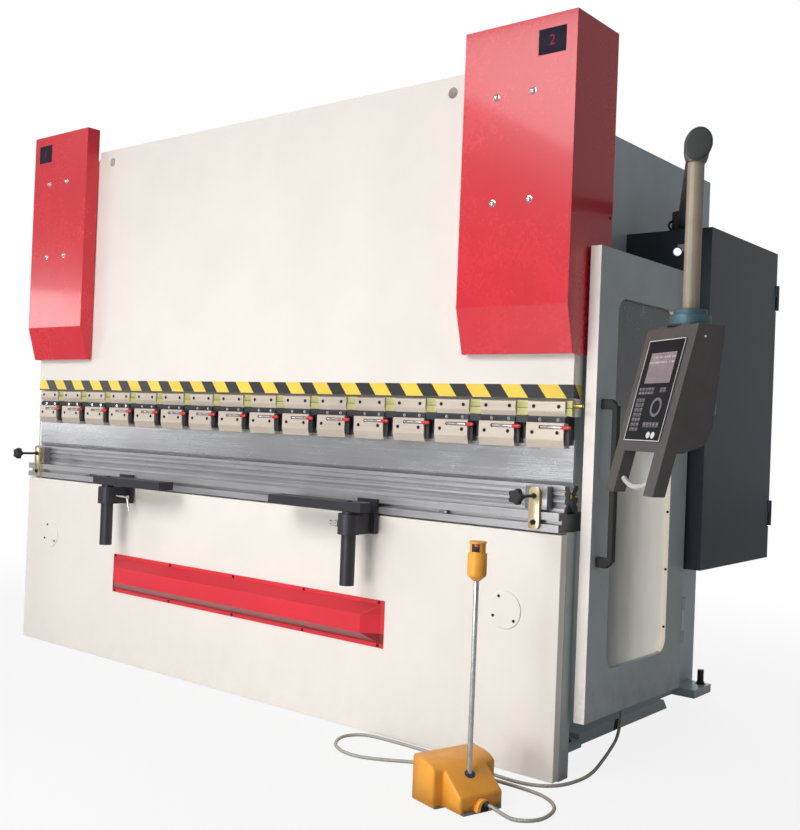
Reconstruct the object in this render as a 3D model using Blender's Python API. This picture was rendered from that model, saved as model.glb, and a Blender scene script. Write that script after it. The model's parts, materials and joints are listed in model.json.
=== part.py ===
"""Floor-standing hydraulic bending machine with a numerical control pendant.

Metres, +Z up. X runs along the bending line, -Y is the operator's side.
The origin lies on the floor, under the middle of the bending line.
"""
import math

import bmesh
import bpy
from mathutils import Matrix, Vector

# Gaps
SEAT = 0.0003
RUNNING_GAP = 0.005
SLIDE_GAP = 0.001

# Bed and apron
HALF_LENGTH = 1.600
HALF_PLATE = 0.030
BED_HEIGHT = 0.842
APRON_THICK = 0.0397
APRON_TOP = BED_HEIGHT - 0.007
APRON_FOOT = 0.004
PLATE_BACK = HALF_PLATE + SEAT
APRON_FACE = -(PLATE_BACK + APRON_THICK)

# Die rail with its T-slot
RAIL_HALF = 0.080
RAIL_HEIGHT = 0.0667
RAIL_END_MARGIN = 0.006
RAIL_BEVEL = 0.008
RAIL_FACE = -RAIL_HALF
RAIL_FOOT = BED_HEIGHT + SEAT
RAIL_TOP = RAIL_FOOT + RAIL_HEIGHT
SLOT_NECK = 0.014
SLOT_NECK_DEPTH = 0.012
SLOT_HEAD = 0.026
SLOT_HEAD_DEPTH = 0.010
SLOT_HEIGHT = RAIL_TOP - 0.034
RAIL_KEYWAY_HALF = 0.030
RAIL_KEYWAY_DEPTH = 0.006

# Die block with grooves on four sides
DIE_HALF = 0.045
DIE_HEIGHT = 0.090
DIE_END_MARGIN = 0.008
TOP_VEE = 0.025
BOTTOM_VEE = 0.017
FRONT_VEES = ((0.018, 0.005), (0.040, 0.008), (0.067, 0.011))
REAR_VEES = ((0.028, 0.016), (0.064, 0.010))
DIE_FOOT = RAIL_TOP + SEAT
DIE_TOP = DIE_FOOT + DIE_HEIGHT

# Punch
PUNCH_HALF = 0.010
PUNCH_TIP_HALF = 0.001
PUNCH_TIP_DROP = 0.009
PUNCH_TAPER = 0.027
PUNCH_LENGTH = 0.1647
PUNCH_TIP = DIE_TOP - PUNCH_TIP_DROP
PUNCH_TOP = PUNCH_TIP + PUNCH_LENGTH

# Quick clamps over the punch
CLAMP_COUNT = 16
CLAMP_PITCH = 0.200
CLAMP_WIDTH = 0.150
CLAMP_GRIP = 0.030
CLAMP_TONGUE_RISE = 0.055
CLAMP_LOWER_RISE = 0.058
CLAMP_TOP_RISE = 0.080
CLAMP_LOWER_FRONT = 0.041
CLAMP_UPPER_FRONT = 0.036
CLAMP_UPPER_LAP = 0.004
CLAMP_UPPER_HEIGHT = 0.057
CLAMP_SLOPE_DEPTH = 0.0095
CLAMP_LOWER_SLOPE = 0.028
CLAMP_UPPER_SLOPE = 0.021
CLAMP_BODY_BACK = 0.032
CLAMP_TONGUE_FRONT = 0.028
CLAMP_MERGE = 0.0015
CLAMP_FOOT = PUNCH_TOP - CLAMP_GRIP
CLAMP_TONGUE_FOOT = PUNCH_TOP + CLAMP_TONGUE_RISE
CLAMP_LOWER_TOP = PUNCH_TOP + CLAMP_LOWER_RISE
CLAMP_BODY_TOP = PUNCH_TOP + CLAMP_TOP_RISE

# Side frames, with their outer faces FRAME_MARGIN inside the bed's ends
FRAME_MARGIN = 0.250
FRAME_THICK = 0.050
FRAME_DEPTH = 1.630
THROAT_DEPTH = 0.3897
THROAT_DROP = 0.062
THROAT_FILLET = 0.120
FRAME_HEAD_SETBACK = 0.130
FRAME_OVERLAP = 0.010
FOOT_REACH = 0.109
REAR_FOOT_MARGIN = 0.0415
REAR_FOOT_LENGTH = 0.184
REAR_FOOT_THICK = 0.037
FRONT_FOOT_START = 0.271
FRONT_FOOT_LENGTH = 0.106
FRONT_FOOT_THICK = 0.027
SILL_START = 0.385
SILL_END = 1.150
SILL_REACH = 0.095
SILL_THICK = 0.045
SILL_FOOT = 0.002
SILL_REAR_SLOPE = 0.035
FRAME_OUTER = HALF_LENGTH - FRAME_MARGIN
FRAME_INNER = FRAME_OUTER - FRAME_THICK
THROAT_BACK = PLATE_BACK + THROAT_DEPTH
THROAT_FOOT = BED_HEIGHT - THROAT_DROP
FRAME_HEAD_FRONT = HALF_PLATE + FRAME_HEAD_SETBACK

# Ram
RAM_REBATE_HEIGHT = 0.057
RAM_REBATE_DEPTH = 0.020
RAM_SHOULDER_HEIGHT = 0.385
RAM_NECK_MARGIN = 0.060
RAM_CORNER_DROP = 0.033
RAM_CORNER_SLOPE = 0.055
RAM_FILLET = 0.060
LIFT_HOLE_INSET = 0.099
LIFT_HOLE_DROP = 0.061
LIFT_HOLE_RADIUS = 0.021
RAM_FOOT = CLAMP_BODY_TOP + SEAT
RAM_REBATE_TOP = RAM_FOOT + RAM_REBATE_HEIGHT
RAM_SHOULDER = RAM_FOOT + RAM_SHOULDER_HEIGHT
RAM_NECK_HALF = FRAME_INNER - RAM_NECK_MARGIN
THROAT_TOP = RAM_SHOULDER - 0.140

# Ram guides on the frames' inner edges
GUIDE_OVERHANG = 0.044
GUIDE_WIDTH = 0.080
GUIDE_FOOT_LIFT = 0.020
GUIDE_HEIGHT = 0.280
GUIDE_FOOT = THROAT_TOP + GUIDE_FOOT_LIFT

# Cylinders
CYLINDER_OFFSET = 0.035
CYLINDER_RADIUS = 0.092
CYLINDER_LIFT = 0.180
CYLINDER_HEIGHT = 0.620
CYLINDER_END_WALL = 0.120
PISTON_RADIUS = 0.042
PISTON_OVERLAP = 0.150
FLANGE_HALF = 0.105
FLANGE_FRONT = 0.096
FLANGE_LIFT = 0.260
FLANGE_HEIGHT = 0.240
MOUNT_PLATE_THICK = 0.044
MOUNT_PLATE_LAP = 0.060
MOUNT_PLATE_HALF = 0.125
COVER_BRACKET = (0.030, 0.060)
CYLINDER_X = FRAME_OUTER + CYLINDER_OFFSET
CYLINDER_FOOT = RAM_SHOULDER + CYLINDER_LIFT
CYLINDER_TOP = CYLINDER_FOOT + CYLINDER_HEIGHT
CYLINDER_BORE = PISTON_RADIUS + SEAT
FLANGE_FOOT = CYLINDER_FOOT + FLANGE_LIFT
FLANGE_TOP = FLANGE_FOOT + FLANGE_HEIGHT
MOUNT_PLATE_FOOT = FLANGE_FOOT - MOUNT_PLATE_LAP
MOUNT_PLATE_TOP = FLANGE_TOP + MOUNT_PLATE_LAP

# Cylinder covers
COVER_SHEET = 0.003
COVER_OVERHANG = 0.010
COVER_WIDTH = 0.460
COVER_FRONT = 0.1055
COVER_FOOT_FRONT = 0.060
COVER_DEPTH_BEHIND = 0.184
COVER_RISE = 0.180
COVER_SLANT = 1.53
RAM_TOP_DROP = 0.1123
FRAME_TOP_DROP = 0.098
COVER_FOOT_LIFT = 0.2125
COVER_CHAMFER_HEIGHT = 0.1635
COVER_OUTER = HALF_LENGTH + COVER_OVERHANG
COVER_INNER = COVER_OUTER - COVER_WIDTH
COVER_TOP = CYLINDER_TOP + COVER_RISE
RAM_TOP = COVER_TOP - RAM_TOP_DROP
FRAME_TOP = RAM_TOP - FRAME_TOP_DROP
COVER_FOOT = RAM_FOOT + COVER_FOOT_LIFT
COVER_CHAMFER = COVER_FOOT + COVER_CHAMFER_HEIGHT
RAM_TOP_HALF = COVER_INNER - 0.007
LIFT_HOLE_X = RAM_TOP_HALF - LIFT_HOLE_INSET
LIFT_HOLE_Z = RAM_TOP - LIFT_HOLE_DROP

# Oil tank and its pump motor
TANK_DROP = 0.050
TANK_HEIGHT = 0.440
TANK_SETBACK = 0.140
TANK_DEPTH = 0.340
MOTOR_RADIUS = 0.105
MOTOR_BODY_RADIUS = 0.093
MOTOR_LENGTH = 0.340
MOTOR_X = -0.450
MOTOR_LIFT = 0.020
MOTOR_RIB_COUNT = 12
MOTOR_RIB_THICK = 0.006
MOTOR_RIB_MARGIN = 0.060
MOTOR_FOOT_HALF = 0.080
MOTOR_FOOT_MARGIN = 0.040
BELL_RADIUS = 0.070
BELL_LENGTH = 0.140
TANK_TOP = FRAME_TOP - TANK_DROP
TANK_FRONT = FRAME_HEAD_FRONT + TANK_SETBACK

# Tie plate and back gauge
TIE_FRONT = 0.560
TIE_THICK = 0.040
TIE_FOOT = 0.080
TIE_HEIGHT = 0.480
GAUGE_SLIDE_INSET = 0.400
GAUGE_SLIDE_WIDTH = 0.090
GAUGE_SLIDE_DROP = 0.122
GAUGE_SLIDE_HEIGHT = 0.080
GAUGE_SLIDE_REACH = 0.390
GAUGE_WEB_HALF = 0.015
GAUGE_POST_HALF = 0.035
GAUGE_POST_DEPTH = 0.090
GAUGE_POST_HEIGHT = 0.1397
GAUGE_BEAM_DEPTH = 0.080
GAUGE_BEAM_HEIGHT = 0.090
GAUGE_BEAM_OVERHANG = 0.250
GAUGE_FINGER_INSET = 0.450
GAUGE_FINGER_HALF = 0.030
GAUGE_FINGER_GAP = 0.105
GAUGE_HEEL_INSET = 0.010
GAUGE_HEEL_HEIGHT = 0.055
GAUGE_ARM_TOP = 0.075
GAUGE_STEP_TOP = 0.090
GAUGE_STEP_LENGTH = 0.090
GAUGE_NOSE_FOOT = 0.052
GAUGE_CHIN_RISE = 0.040
GAUGE_CHIN_LENGTH = 0.050
GAUGE_THROAT_RISE = 0.020
GAUGE_THROAT_LENGTH = 0.100
GAUGE_TOE_LENGTH = 0.030
TIE_TOP = TIE_FOOT + TIE_HEIGHT
TIE_BACK = TIE_FRONT + TIE_THICK
GAUGE_SLIDE_X = FRAME_INNER - GAUGE_SLIDE_INSET
GAUGE_SLIDE_TOP = BED_HEIGHT - GAUGE_SLIDE_DROP
GAUGE_SLIDE_FOOT = GAUGE_SLIDE_TOP - GAUGE_SLIDE_HEIGHT
GAUGE_BEAM_BACK = TIE_BACK
GAUGE_BEAM_FRONT = GAUGE_BEAM_BACK - GAUGE_BEAM_DEPTH
GAUGE_BEAM_FOOT = GAUGE_SLIDE_TOP + GAUGE_POST_HEIGHT + SEAT
GAUGE_BEAM_TOP = GAUGE_BEAM_FOOT + GAUGE_BEAM_HEIGHT
GAUGE_BEAM_HALF = GAUGE_SLIDE_X + GAUGE_BEAM_OVERHANG
GAUGE_FINGER_X = GAUGE_SLIDE_X - GAUGE_FINGER_INSET
GAUGE_FINGER_NOSE = DIE_HALF + GAUGE_FINGER_GAP

# Apron covers
PANEL_HALF = 0.845
PANEL_DROP = 0.322
PANEL_HEIGHT = 0.181
PANEL_FLANGE = 0.003
PANEL_RIM = 0.016
PANEL_RAISE = 0.048
PANEL_INSET_X = 0.078
PANEL_INSET_Z = 0.056
HAND_COVER_INSET = 0.215
HAND_COVER_DROP = 0.279
HAND_COVER_RADIUS = 0.066
HAND_COVER_THICK = 0.004
PANEL_TOP = APRON_TOP - PANEL_DROP
PANEL_FOOT = PANEL_TOP - PANEL_HEIGHT
HAND_COVER_X = HALF_LENGTH - HAND_COVER_INSET
HAND_COVER_Z = APRON_TOP - HAND_COVER_DROP

# Rail end clamps
END_CLAMP_INSET = 0.100
END_CLAMP_HALF = 0.021
END_CLAMP_CORNER = 0.0147
END_CLAMP_THICK = 0.012
END_CLAMP_LIFT = 0.006
END_CLAMP_HEIGHT = 0.144
END_BLOCK_HALF = 0.044
END_BLOCK_LIFT = 0.006
END_BLOCK_HEIGHT = 0.080
END_BLOCK_LAP = 0.003
END_ROD_LIFT = 0.053
END_ROD_RADIUS = 0.006
END_ROD_LENGTH = 0.100
KNOB_RADIUS = 0.028
KNOB_THICK = 0.028
KNOB_LAP = 0.004
KNOB_LOBES = 5
END_CLAMP_X = HALF_LENGTH - END_CLAMP_INSET
END_CLAMP_FOOT = RAIL_FOOT + END_CLAMP_LIFT
END_BLOCK_FOOT = RAIL_TOP + END_BLOCK_LIFT
END_ROD_Z = RAIL_TOP + END_ROD_LIFT

# Front sheet supports
SUPPORT_X = 0.753
POST_REACH = 0.110
POST_RADIUS = 0.028
POST_HANG = 0.192
BRACKET_HEIGHT = 0.077
BARREL_RADIUS = 0.043
BRACKET_ARM_HALF = 0.034
BRACKET_BACK_HALF = 0.050
BRACKET_BACK_THICK = 0.020
BRACKET_BACK_RISE = 0.005
HOOK_THICK = 0.010
HOOK_RISE = 0.055
NUT_HALF = 0.030
NUT_LAP = 0.005
BAR_THICK = 0.036
BAR_LIFT = 0.0105
BAR_FRONT = 0.030
BAR_BACK = 0.050
BAR_NEAR = 0.085
BAR_FAR = 0.410
BAR_BEVEL = 0.030
BAR_SMALL_BEVEL = 0.010
POST_Y = RAIL_FACE - POST_REACH
BRACKET_TOP = SLOT_HEIGHT - 0.033
BRACKET_FOOT = BRACKET_TOP - BRACKET_HEIGHT
POST_FOOT = BRACKET_FOOT - POST_HANG
BAR_FOOT = BRACKET_TOP + BAR_LIFT
BAR_TOP = BAR_FOOT + BAR_THICK

# Side guard doors
DOOR_STAND = 0.061
DOOR_THICK = 0.041
DOOR_START = 0.020
DOOR_DEPTH = 0.756
DOOR_FOOT = 0.195
DOOR_HEIGHT = 1.627
WINDOW_MARGIN_Y = 0.140
WINDOW_MARGIN_Z = 0.162
WINDOW_RADIUS = 0.055
GLASS_HALF = 0.003
HINGE_SETBACK = 0.008
HINGE_RADIUS = 0.0075
HINGE_TAB_FRONT = 0.003
HINGE_TAB_THICK = 0.010
HINGE_TAB_HEIGHT = 0.080
HINGE_TAB_MARGIN = 0.2235
KNUCKLE_RADIUS = 0.0095
KNUCKLE_LENGTH = 0.050
HANDLE_SETBACK = 0.049
HANDLE_LIFT = 0.530
HANDLE_HEIGHT = 0.575
HANDLE_REACH = 0.062
HANDLE_HALF = 0.013
HANDLE_BAR = 0.020
HANDLE_LEG = 0.035
HANDLE_CHAMFER = 0.024
DOOR_OUTER = HALF_LENGTH + DOOR_STAND
DOOR_END = DOOR_START + DOOR_DEPTH
DOOR_TOP = DOOR_FOOT + DOOR_HEIGHT
HINGE_Y = DOOR_END + HINGE_SETBACK
HANDLE_Y = DOOR_START + HANDLE_SETBACK
HINGE_TAB_FEET = (DOOR_FOOT + HINGE_TAB_MARGIN, DOOR_TOP - HINGE_TAB_MARGIN - HINGE_TAB_HEIGHT)

# Electrical cabinet
CABINET_GAP = 0.016
CABINET_DEPTH = 0.730
CABINET_FOOT = 0.658
CABINET_OVER_DOOR = 0.187
CABINET_WIDTH = 0.350
CABINET_SHEET = 0.004
CABINET_DOOR_THICK = 0.020
CABINET_AXIS_OUT = 0.0025
CABINET_AXIS_BACK = 0.0085
CABINET_KNUCKLE = 0.0065
CABINET_LEAF = 0.060
CABINET_LEAF_LAP = 0.030
CABINET_LEAF_THICK = 0.005
CABINET_LEAF_MARGIN = 0.142
CABINET_KNUCKLE_LENGTH = 0.050
GEAR_PLATE_STAND = 0.020
GEAR_PLATE_THICK = 0.004
GEAR_PLATE_MARGIN = 0.060
GEAR_STUD_HALF = 0.010
GEAR_STUD_INSET = 0.030
GEAR_ROW_FIRST = 0.128
GEAR_ROW_PITCH = 0.250
GEAR_ROW_COUNT = 4
GEAR_ROW_INSET = 0.050
GEAR_ROW_DEPTH = 0.075
GEAR_ROW_HEIGHT = 0.090
CABINET_FRONT = HINGE_Y + CABINET_GAP
CABINET_REAR = CABINET_FRONT + CABINET_DEPTH
CABINET_TOP = DOOR_TOP + CABINET_OVER_DOOR
CABINET_FACE = FRAME_OUTER + CABINET_WIDTH
CABINET_AXIS_X = CABINET_FACE + CABINET_DOOR_THICK + CABINET_AXIS_OUT
CABINET_AXIS_Y = CABINET_REAR + CABINET_AXIS_BACK
CABINET_LEAF_FEET = (CABINET_FOOT + CABINET_LEAF_MARGIN,
                     CABINET_TOP - CABINET_LEAF_MARGIN - CABINET_LEAF - CABINET_KNUCKLE_LENGTH)

# Pendant arm
ARM_INSET_X = 0.140
ARM_INSET_Y = 0.080
ARM_REACH_X = 0.561
ARM_REACH_Y = -1.162
ARM_RADIUS = 0.024
ARM_LIFT = 0.036
ARM_FLANGE_RADIUS = 0.060
ARM_FLANGE_THICK = 0.006
ARM_HEAD_RADIUS = 0.045
ARM_HEAD_RISE = 0.050
ELBOW_HALF = 0.040
ELBOW_HALF_HEIGHT = 0.0485
ELBOW_MIDDLE_DROP = 0.0185
ELBOW_OFFSET = 0.003
ELBOW_LEAN = 0.009
ELBOW_SKEW = 0.003
ELBOW_RINGS = ((-0.040, 0.58), (-0.034, 0.76), (-0.020, 0.88), (0.0, 0.92),
               (0.025, 0.92), (0.031, 1.0), (0.036, 0.96), (0.040, 0.82))
ELBOW_NECK_RADIUS = 0.036
ELBOW_FOOT_RADIUS = 0.029
ELBOW_DROP = 0.064
ELBOW_SHOULDER = 0.026
TUBE_LENGTH = 0.4304
ARM_BASE_X = CABINET_FACE - ARM_INSET_X
ARM_BASE_Y = CABINET_FRONT + ARM_INSET_Y
ARM_TUBE_X = ARM_BASE_X + ARM_REACH_X
ARM_TUBE_Y = ARM_BASE_Y + ARM_REACH_Y
ARM_HEIGHT = CABINET_TOP + ARM_LIFT
ELBOW_FOOT = ARM_HEIGHT - ELBOW_DROP

# Pendant
COLLAR_SMALL_RADIUS = 0.049
COLLAR_RADIUS = 0.059
COLLAR_SMALL_HEIGHT = 0.015
COLLAR_HEIGHT = 0.030
PENDANT_CAP = 0.005
PENDANT_CAP_HALF = 0.085
PENDANT_CAP_MARGIN = 0.004
PENDANT_YAW = math.radians(-34)
PENDANT_TILT = math.radians(14.5)
PENDANT_HALF = 0.1355
PENDANT_LENGTH = 0.375
PENDANT_DEPTH = 0.084
PENDANT_FRONT = 0.058
PENDANT_FOOT_DEPTH = 0.060
PENDANT_LEG_WIDTH = 0.052
PENDANT_LEG_LENGTH = 0.125
PENDANT_LEG_DEPTH = 0.040
PENDANT_LEG_LAP = 0.020
SCREEN_HALF = 0.098
SCREEN_HEIGHT = 0.304
SCREEN_TOP_MARGIN = 0.040
SCREEN_THICK = 0.0027
GRIP_RADIUS = 0.008
GRIP_BOW = 0.022
GRIP_DROP = 0.0775
TUBE_FOOT = ELBOW_FOOT - SEAT - TUBE_LENGTH
COLLAR_TOP = TUBE_FOOT - SEAT
COLLAR_STEP = COLLAR_TOP - COLLAR_SMALL_HEIGHT
COLLAR_FOOT = COLLAR_STEP - COLLAR_HEIGHT
PENDANT_CAP_TOP = COLLAR_FOOT - SEAT
PENDANT_TOP = PENDANT_CAP_TOP - PENDANT_CAP

# Foot pedal with its stop post
PEDAL_END = (1.571, -0.4455)
PEDAL_YAW = math.radians(164.3)
PEDAL_NARROW_LENGTH = 0.086
PEDAL_WIDE_LENGTH = 0.108
PEDAL_NARROW_HALF = 0.0855
PEDAL_WIDE_HALF = 0.125
PEDAL_HEIGHT = 0.145
PEDAL_END_HEIGHT = 0.050
PEDAL_SHELL = 0.004
PEDAL_LAP = 0.020
PEDAL_BASE_THICK = 0.010
PEDAL_BASE_LIP = 0.006
PEDAL_BASE_INSET = 0.010
TREADLE_GAP = 0.012
TREADLE_LENGTH = 0.090
TREADLE_HALF = 0.050
TREADLE_THICK = 0.008
TREADLE_HEIGHT = 0.045
TREADLE_SLOPE = 0.012
TREADLE_LUG = (0.030, 0.055, 0.008)
OUTLET_OFFSET = -0.005
OUTLET_RADIUS = 0.017
OUTLET_REACH = 0.018
OUTLET_LAP = 0.015
OUTLET_HEIGHT = 0.028
STOP_POST_AT = 0.066
STOP_POST_RADIUS = 0.0085
STOP_POST_LENGTH = 0.694
GROMMET_RADIUS = 0.022
GROMMET_RISE = 0.006
STOP_HEAD_HEIGHT = 0.124
STOP_HEAD_RADIUS = 0.031
STOP_HEAD_NECK = 0.0255
STOP_HEAD_FOOT = 0.019
PEDAL_LENGTH = PEDAL_NARROW_LENGTH + PEDAL_WIDE_LENGTH
PEDAL_FLOOR = PEDAL_BASE_THICK + SEAT
STOP_POST_TOP = PEDAL_FLOOR + STOP_POST_LENGTH
STOP_HEAD_TOP = STOP_POST_TOP + SEAT + STOP_HEAD_HEIGHT

# Hose from the pedal into the machine's side
HOSE_RADIUS = 0.006
HOSE_ROUTE = (
    (1.5903, -0.4457, 0.028), (1.6164, -0.4531, 0.0275), (1.6457, -0.4545, 0.019), (1.686, -0.4460, 0.0075),
    (1.729, -0.416, 0.0065), (1.748, -0.358, 0.0065), (1.725, -0.268, 0.0065), (1.650, -0.205, 0.0065),
    (1.540, -0.187, 0.0065), (1.400, -0.190, 0.0065), (1.260, -0.208, 0.0065), (1.139, -0.236, 0.0065),
    (1.055, -0.285, 0.0065), (0.965, -0.325, 0.0065), (0.878, -0.321, 0.0065), (0.803, -0.273, 0.0065),
    (0.765, -0.190, 0.0065), (0.795, -0.125, 0.0065), (0.870, -0.103, 0.0065), (1.075, -0.102, 0.0065),
    (1.280, -0.122, 0.0065), (1.461, -0.146, 0.0065), (1.560, -0.135, 0.0065), (1.625, -0.080, 0.0065),
    (1.650, 0.020, 0.0065), (1.642, 0.130, 0.0065), (1.603, 0.275, 0.0065), (1.555, 0.430, 0.0065),
    (1.515, 0.550, 0.0100), (1.489, 0.625, 0.0400), (1.470, 0.668, 0.0850), (1.440, 0.690, 0.1150),
    (1.405, 0.695, 0.1220), (1.3785, 0.695, 0.1220),
)
HOSE_SPACING = 0.042
GLAND_RADIUS = 0.013
GLAND_LENGTH = 0.0276

SIDES = (("left", -1), ("right", 1))
FACING = {
    "X": Matrix(((0, 0, 1, 0), (1, 0, 0, 0), (0, 1, 0, 0), (0, 0, 0, 1))),
    "Y": Matrix(((1, 0, 0, 0), (0, 0, -1, 0), (0, 1, 0, 0), (0, 0, 0, 1))),
    "Z": Matrix.Identity(4),
}
ALONG = {"X": Vector((1, 0, 0)), "Y": Vector((0, 1, 0)), "Z": Vector((0, 0, 1))}

for leftover in list(bpy.data.objects):
    bpy.data.objects.remove(leftover, do_unlink=True)

machine = bpy.data.collections.new("cnc_bending_machine")
cutters = bpy.data.collections.new("cutters")
for folder in (machine, cutters):
    bpy.context.scene.collection.children.link(folder)


def paint(name, colour, roughness=0.5, metallic=0.0):
    """A Principled material with one colour."""
    finish = bpy.data.materials.new(name)
    finish.use_nodes = True
    shader = finish.node_tree.nodes["Principled BSDF"]
    shader.inputs["Base Color"].default_value = (*colour, 1.0)
    shader.inputs["Roughness"].default_value = roughness
    shader.inputs["Metallic"].default_value = metallic
    return finish


WHITE = paint("warm_white_paint", (0.80, 0.77, 0.72), 0.35)
RED = paint("red_paint", (0.72, 0.03, 0.05), 0.30)
GREY = paint("grey_paint", (0.24, 0.27, 0.28), 0.45)
DARK = paint("dark_cabinet_paint", (0.02, 0.026, 0.035), 0.30)
STEEL = paint("ground_steel", (0.42, 0.42, 0.42), 0.35, 1.0)
BRIGHT = paint("bright_steel", (0.65, 0.65, 0.66), 0.20, 1.0)
TOOL = paint("clamp_steel", (0.45, 0.38, 0.31), 0.40, 0.8)
BLACK = paint("black_oxide", (0.03, 0.033, 0.038), 0.45, 0.3)
ZINC = paint("yellow_zinc", (0.55, 0.48, 0.20), 0.35, 0.9)
RUBBER = paint("black_plastic", (0.02, 0.02, 0.02), 0.55)
ORANGE = paint("pedal_yellow", (0.85, 0.36, 0.03), 0.40)
HOUSING = paint("pendant_grey", (0.09, 0.085, 0.08), 0.50)
GLASS = paint("clear_sheet", (0.60, 0.64, 0.64), 0.10)
CHAMPAGNE = paint("champagne_tube", (0.50, 0.42, 0.32), 0.30, 0.9)
TEAL = paint("teal_collar", (0.06, 0.12, 0.15), 0.35)


def keep(piece, name, finish):
    """Files a finished solid under the machine with its own material."""
    piece.name = name
    piece.data.name = name
    piece.data.materials.clear()
    piece.data.materials.append(finish)
    if piece.name not in machine.objects:
        machine.objects.link(piece)
    return piece


def as_object(shape, name="piece"):
    """Turns a bmesh into an object."""
    mesh = bpy.data.meshes.new(name)
    shape.to_mesh(mesh)
    shape.free()
    return bpy.data.objects.new(name, mesh)


def block(low, high):
    """A box between two corners."""
    size = Vector(high) - Vector(low)
    centre = (Vector(high) + Vector(low)) / 2
    shape = bmesh.new()
    bmesh.ops.create_cube(shape, size=1.0, matrix=Matrix.Translation(centre) @ Matrix.Diagonal((*size, 1.0)))
    return as_object(shape)


def bar_between(start, end, radius, sides=24, end_radius=None):
    """A round bar, or a cone, between two points."""
    start, end = Vector(start), Vector(end)
    run = end - start
    turn = Vector((0, 0, 1)).rotation_difference(run).to_matrix().to_4x4()
    shape = bmesh.new()
    bmesh.ops.create_cone(
        shape, cap_ends=True, segments=sides, radius1=radius,
        radius2=radius if end_radius is None else end_radius, depth=run.length,
        matrix=Matrix.Translation((start + end) / 2) @ turn)
    return as_object(shape)


def extruded(outline, axis, low, high, holes=()):
    """A flat outline pushed along an axis. X takes (y, z), Y takes (x, z) and Z takes (x, y)."""
    flat = bpy.data.curves.new("outline", "CURVE")
    flat.dimensions = "2D"
    flat.fill_mode = "BOTH"
    flat.extrude = abs(high - low) / 2
    for loop in (outline, *holes):
        spline = flat.splines.new("POLY")
        spline.points.add(len(loop) - 1)
        for point, (across, up) in zip(spline.points, loop):
            point.co = (across, up, 0.0, 1.0)
        spline.use_cyclic_u = True
    guide = bpy.data.objects.new("outline", flat)
    guide.matrix_world = Matrix.Translation(ALONG[axis] * (low + high) / 2) @ FACING[axis]
    return meshed(guide)


def meshed(guide):
    """Makes a closed mesh object of a curve object and removes the curve."""
    bpy.context.scene.collection.objects.link(guide)
    bpy.context.view_layer.update()
    evaluated = guide.evaluated_get(bpy.context.evaluated_depsgraph_get())
    mesh = bpy.data.meshes.new_from_object(evaluated)
    placed = guide.matrix_world.copy()
    bpy.data.objects.remove(guide, do_unlink=True)
    shape = bmesh.new()
    shape.from_mesh(mesh)
    bmesh.ops.remove_doubles(shape, verts=shape.verts, dist=0.00001)
    bmesh.ops.recalc_face_normals(shape, faces=shape.faces)
    bmesh.ops.transform(shape, matrix=placed, verts=shape.verts)
    return as_object(shape)


def turned(profile, centre, sides=24):
    """A solid of revolution about the vertical through centre, from (radius, z) points, top first."""
    shape = bmesh.new()
    verts = [shape.verts.new((radius, 0.0, height)) for radius, height in profile]
    edges = [shape.edges.new(pair) for pair in zip(verts, verts[1:])]
    bmesh.ops.spin(shape, geom=verts + edges, cent=(0, 0, 0), axis=(0, 0, 1),
                   angle=math.tau, steps=sides, use_merge=True)
    bmesh.ops.remove_doubles(shape, verts=shape.verts, dist=0.00001)
    bmesh.ops.recalc_face_normals(shape, faces=shape.faces)
    bmesh.ops.translate(shape, vec=centre, verts=shape.verts)
    return as_object(shape)


def lofted(rings):
    """A closed solid through rings of equal point counts, capped at both ends."""
    shape = bmesh.new()
    loops = [[shape.verts.new(point) for point in ring] for ring in rings]
    count = len(loops[0])
    for near, far in zip(loops, loops[1:]):
        for index in range(count):
            after = (index + 1) % count
            shape.faces.new((near[index], near[after], far[after], far[index]))
    shape.faces.new(loops[0])
    shape.faces.new(loops[-1])
    bmesh.ops.recalc_face_normals(shape, faces=shape.faces)
    return as_object(shape)


def combine(target, operation, pieces):
    """Joins or cuts a solid by others and applies the result."""
    bundle = bpy.data.collections.new("tools")
    cutters.children.link(bundle)
    for piece in pieces:
        piece.hide_render = True
        piece.display_type = "WIRE"
        bundle.objects.link(piece)
    modifier = target.modifiers.new(operation.lower(), "BOOLEAN")
    modifier.operation = operation
    modifier.operand_type = "COLLECTION"
    modifier.collection = bundle
    bpy.context.scene.collection.objects.link(target)
    bpy.context.view_layer.update()
    evaluated = target.evaluated_get(bpy.context.evaluated_depsgraph_get())
    result = bpy.data.meshes.new_from_object(evaluated)
    bpy.context.scene.collection.objects.unlink(target)
    target.modifiers.clear()
    target.data = result
    for piece in pieces:
        bpy.data.objects.remove(piece, do_unlink=True)
    bpy.data.collections.remove(bundle)
    return target


def join(target, *pieces):
    """Fuses pieces into a solid."""
    return combine(target, "UNION", pieces)


def cut(target, *pieces):
    """Cuts pieces out of a solid."""
    return combine(target, "DIFFERENCE", pieces)


def moved(piece, matrix):
    """Places a solid by a matrix."""
    piece.data.transform(matrix)
    return piece


def span(side, near, far):
    """A range along X on one side of the machine, low end first."""
    return tuple(sorted((side * near, side * far)))


def filleted(corners, steps=4):
    """An outline from (across, up, radius) corners, with arcs where the radius is not zero."""
    outline = []
    count = len(corners)
    for index, (across, up, radius) in enumerate(corners):
        here = Vector((across, up))
        if radius == 0:
            outline.append((across, up))
            continue
        before = (Vector(corners[index - 1][:2]) - here).normalized()
        after = (Vector(corners[(index + 1) % count][:2]) - here).normalized()
        half = before.angle(after) / 2
        centre = here + (before + after).normalized() * radius / math.sin(half)
        first = here + before * radius / math.tan(half) - centre
        last = here + after * radius / math.tan(half) - centre
        sweep = first.angle_signed(last)
        for step in range(steps + 1):
            arm = first.copy()
            arm.rotate(Matrix.Rotation(-sweep * step / steps, 2))
            outline.append(tuple(centre + arm))
    return outline


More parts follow.
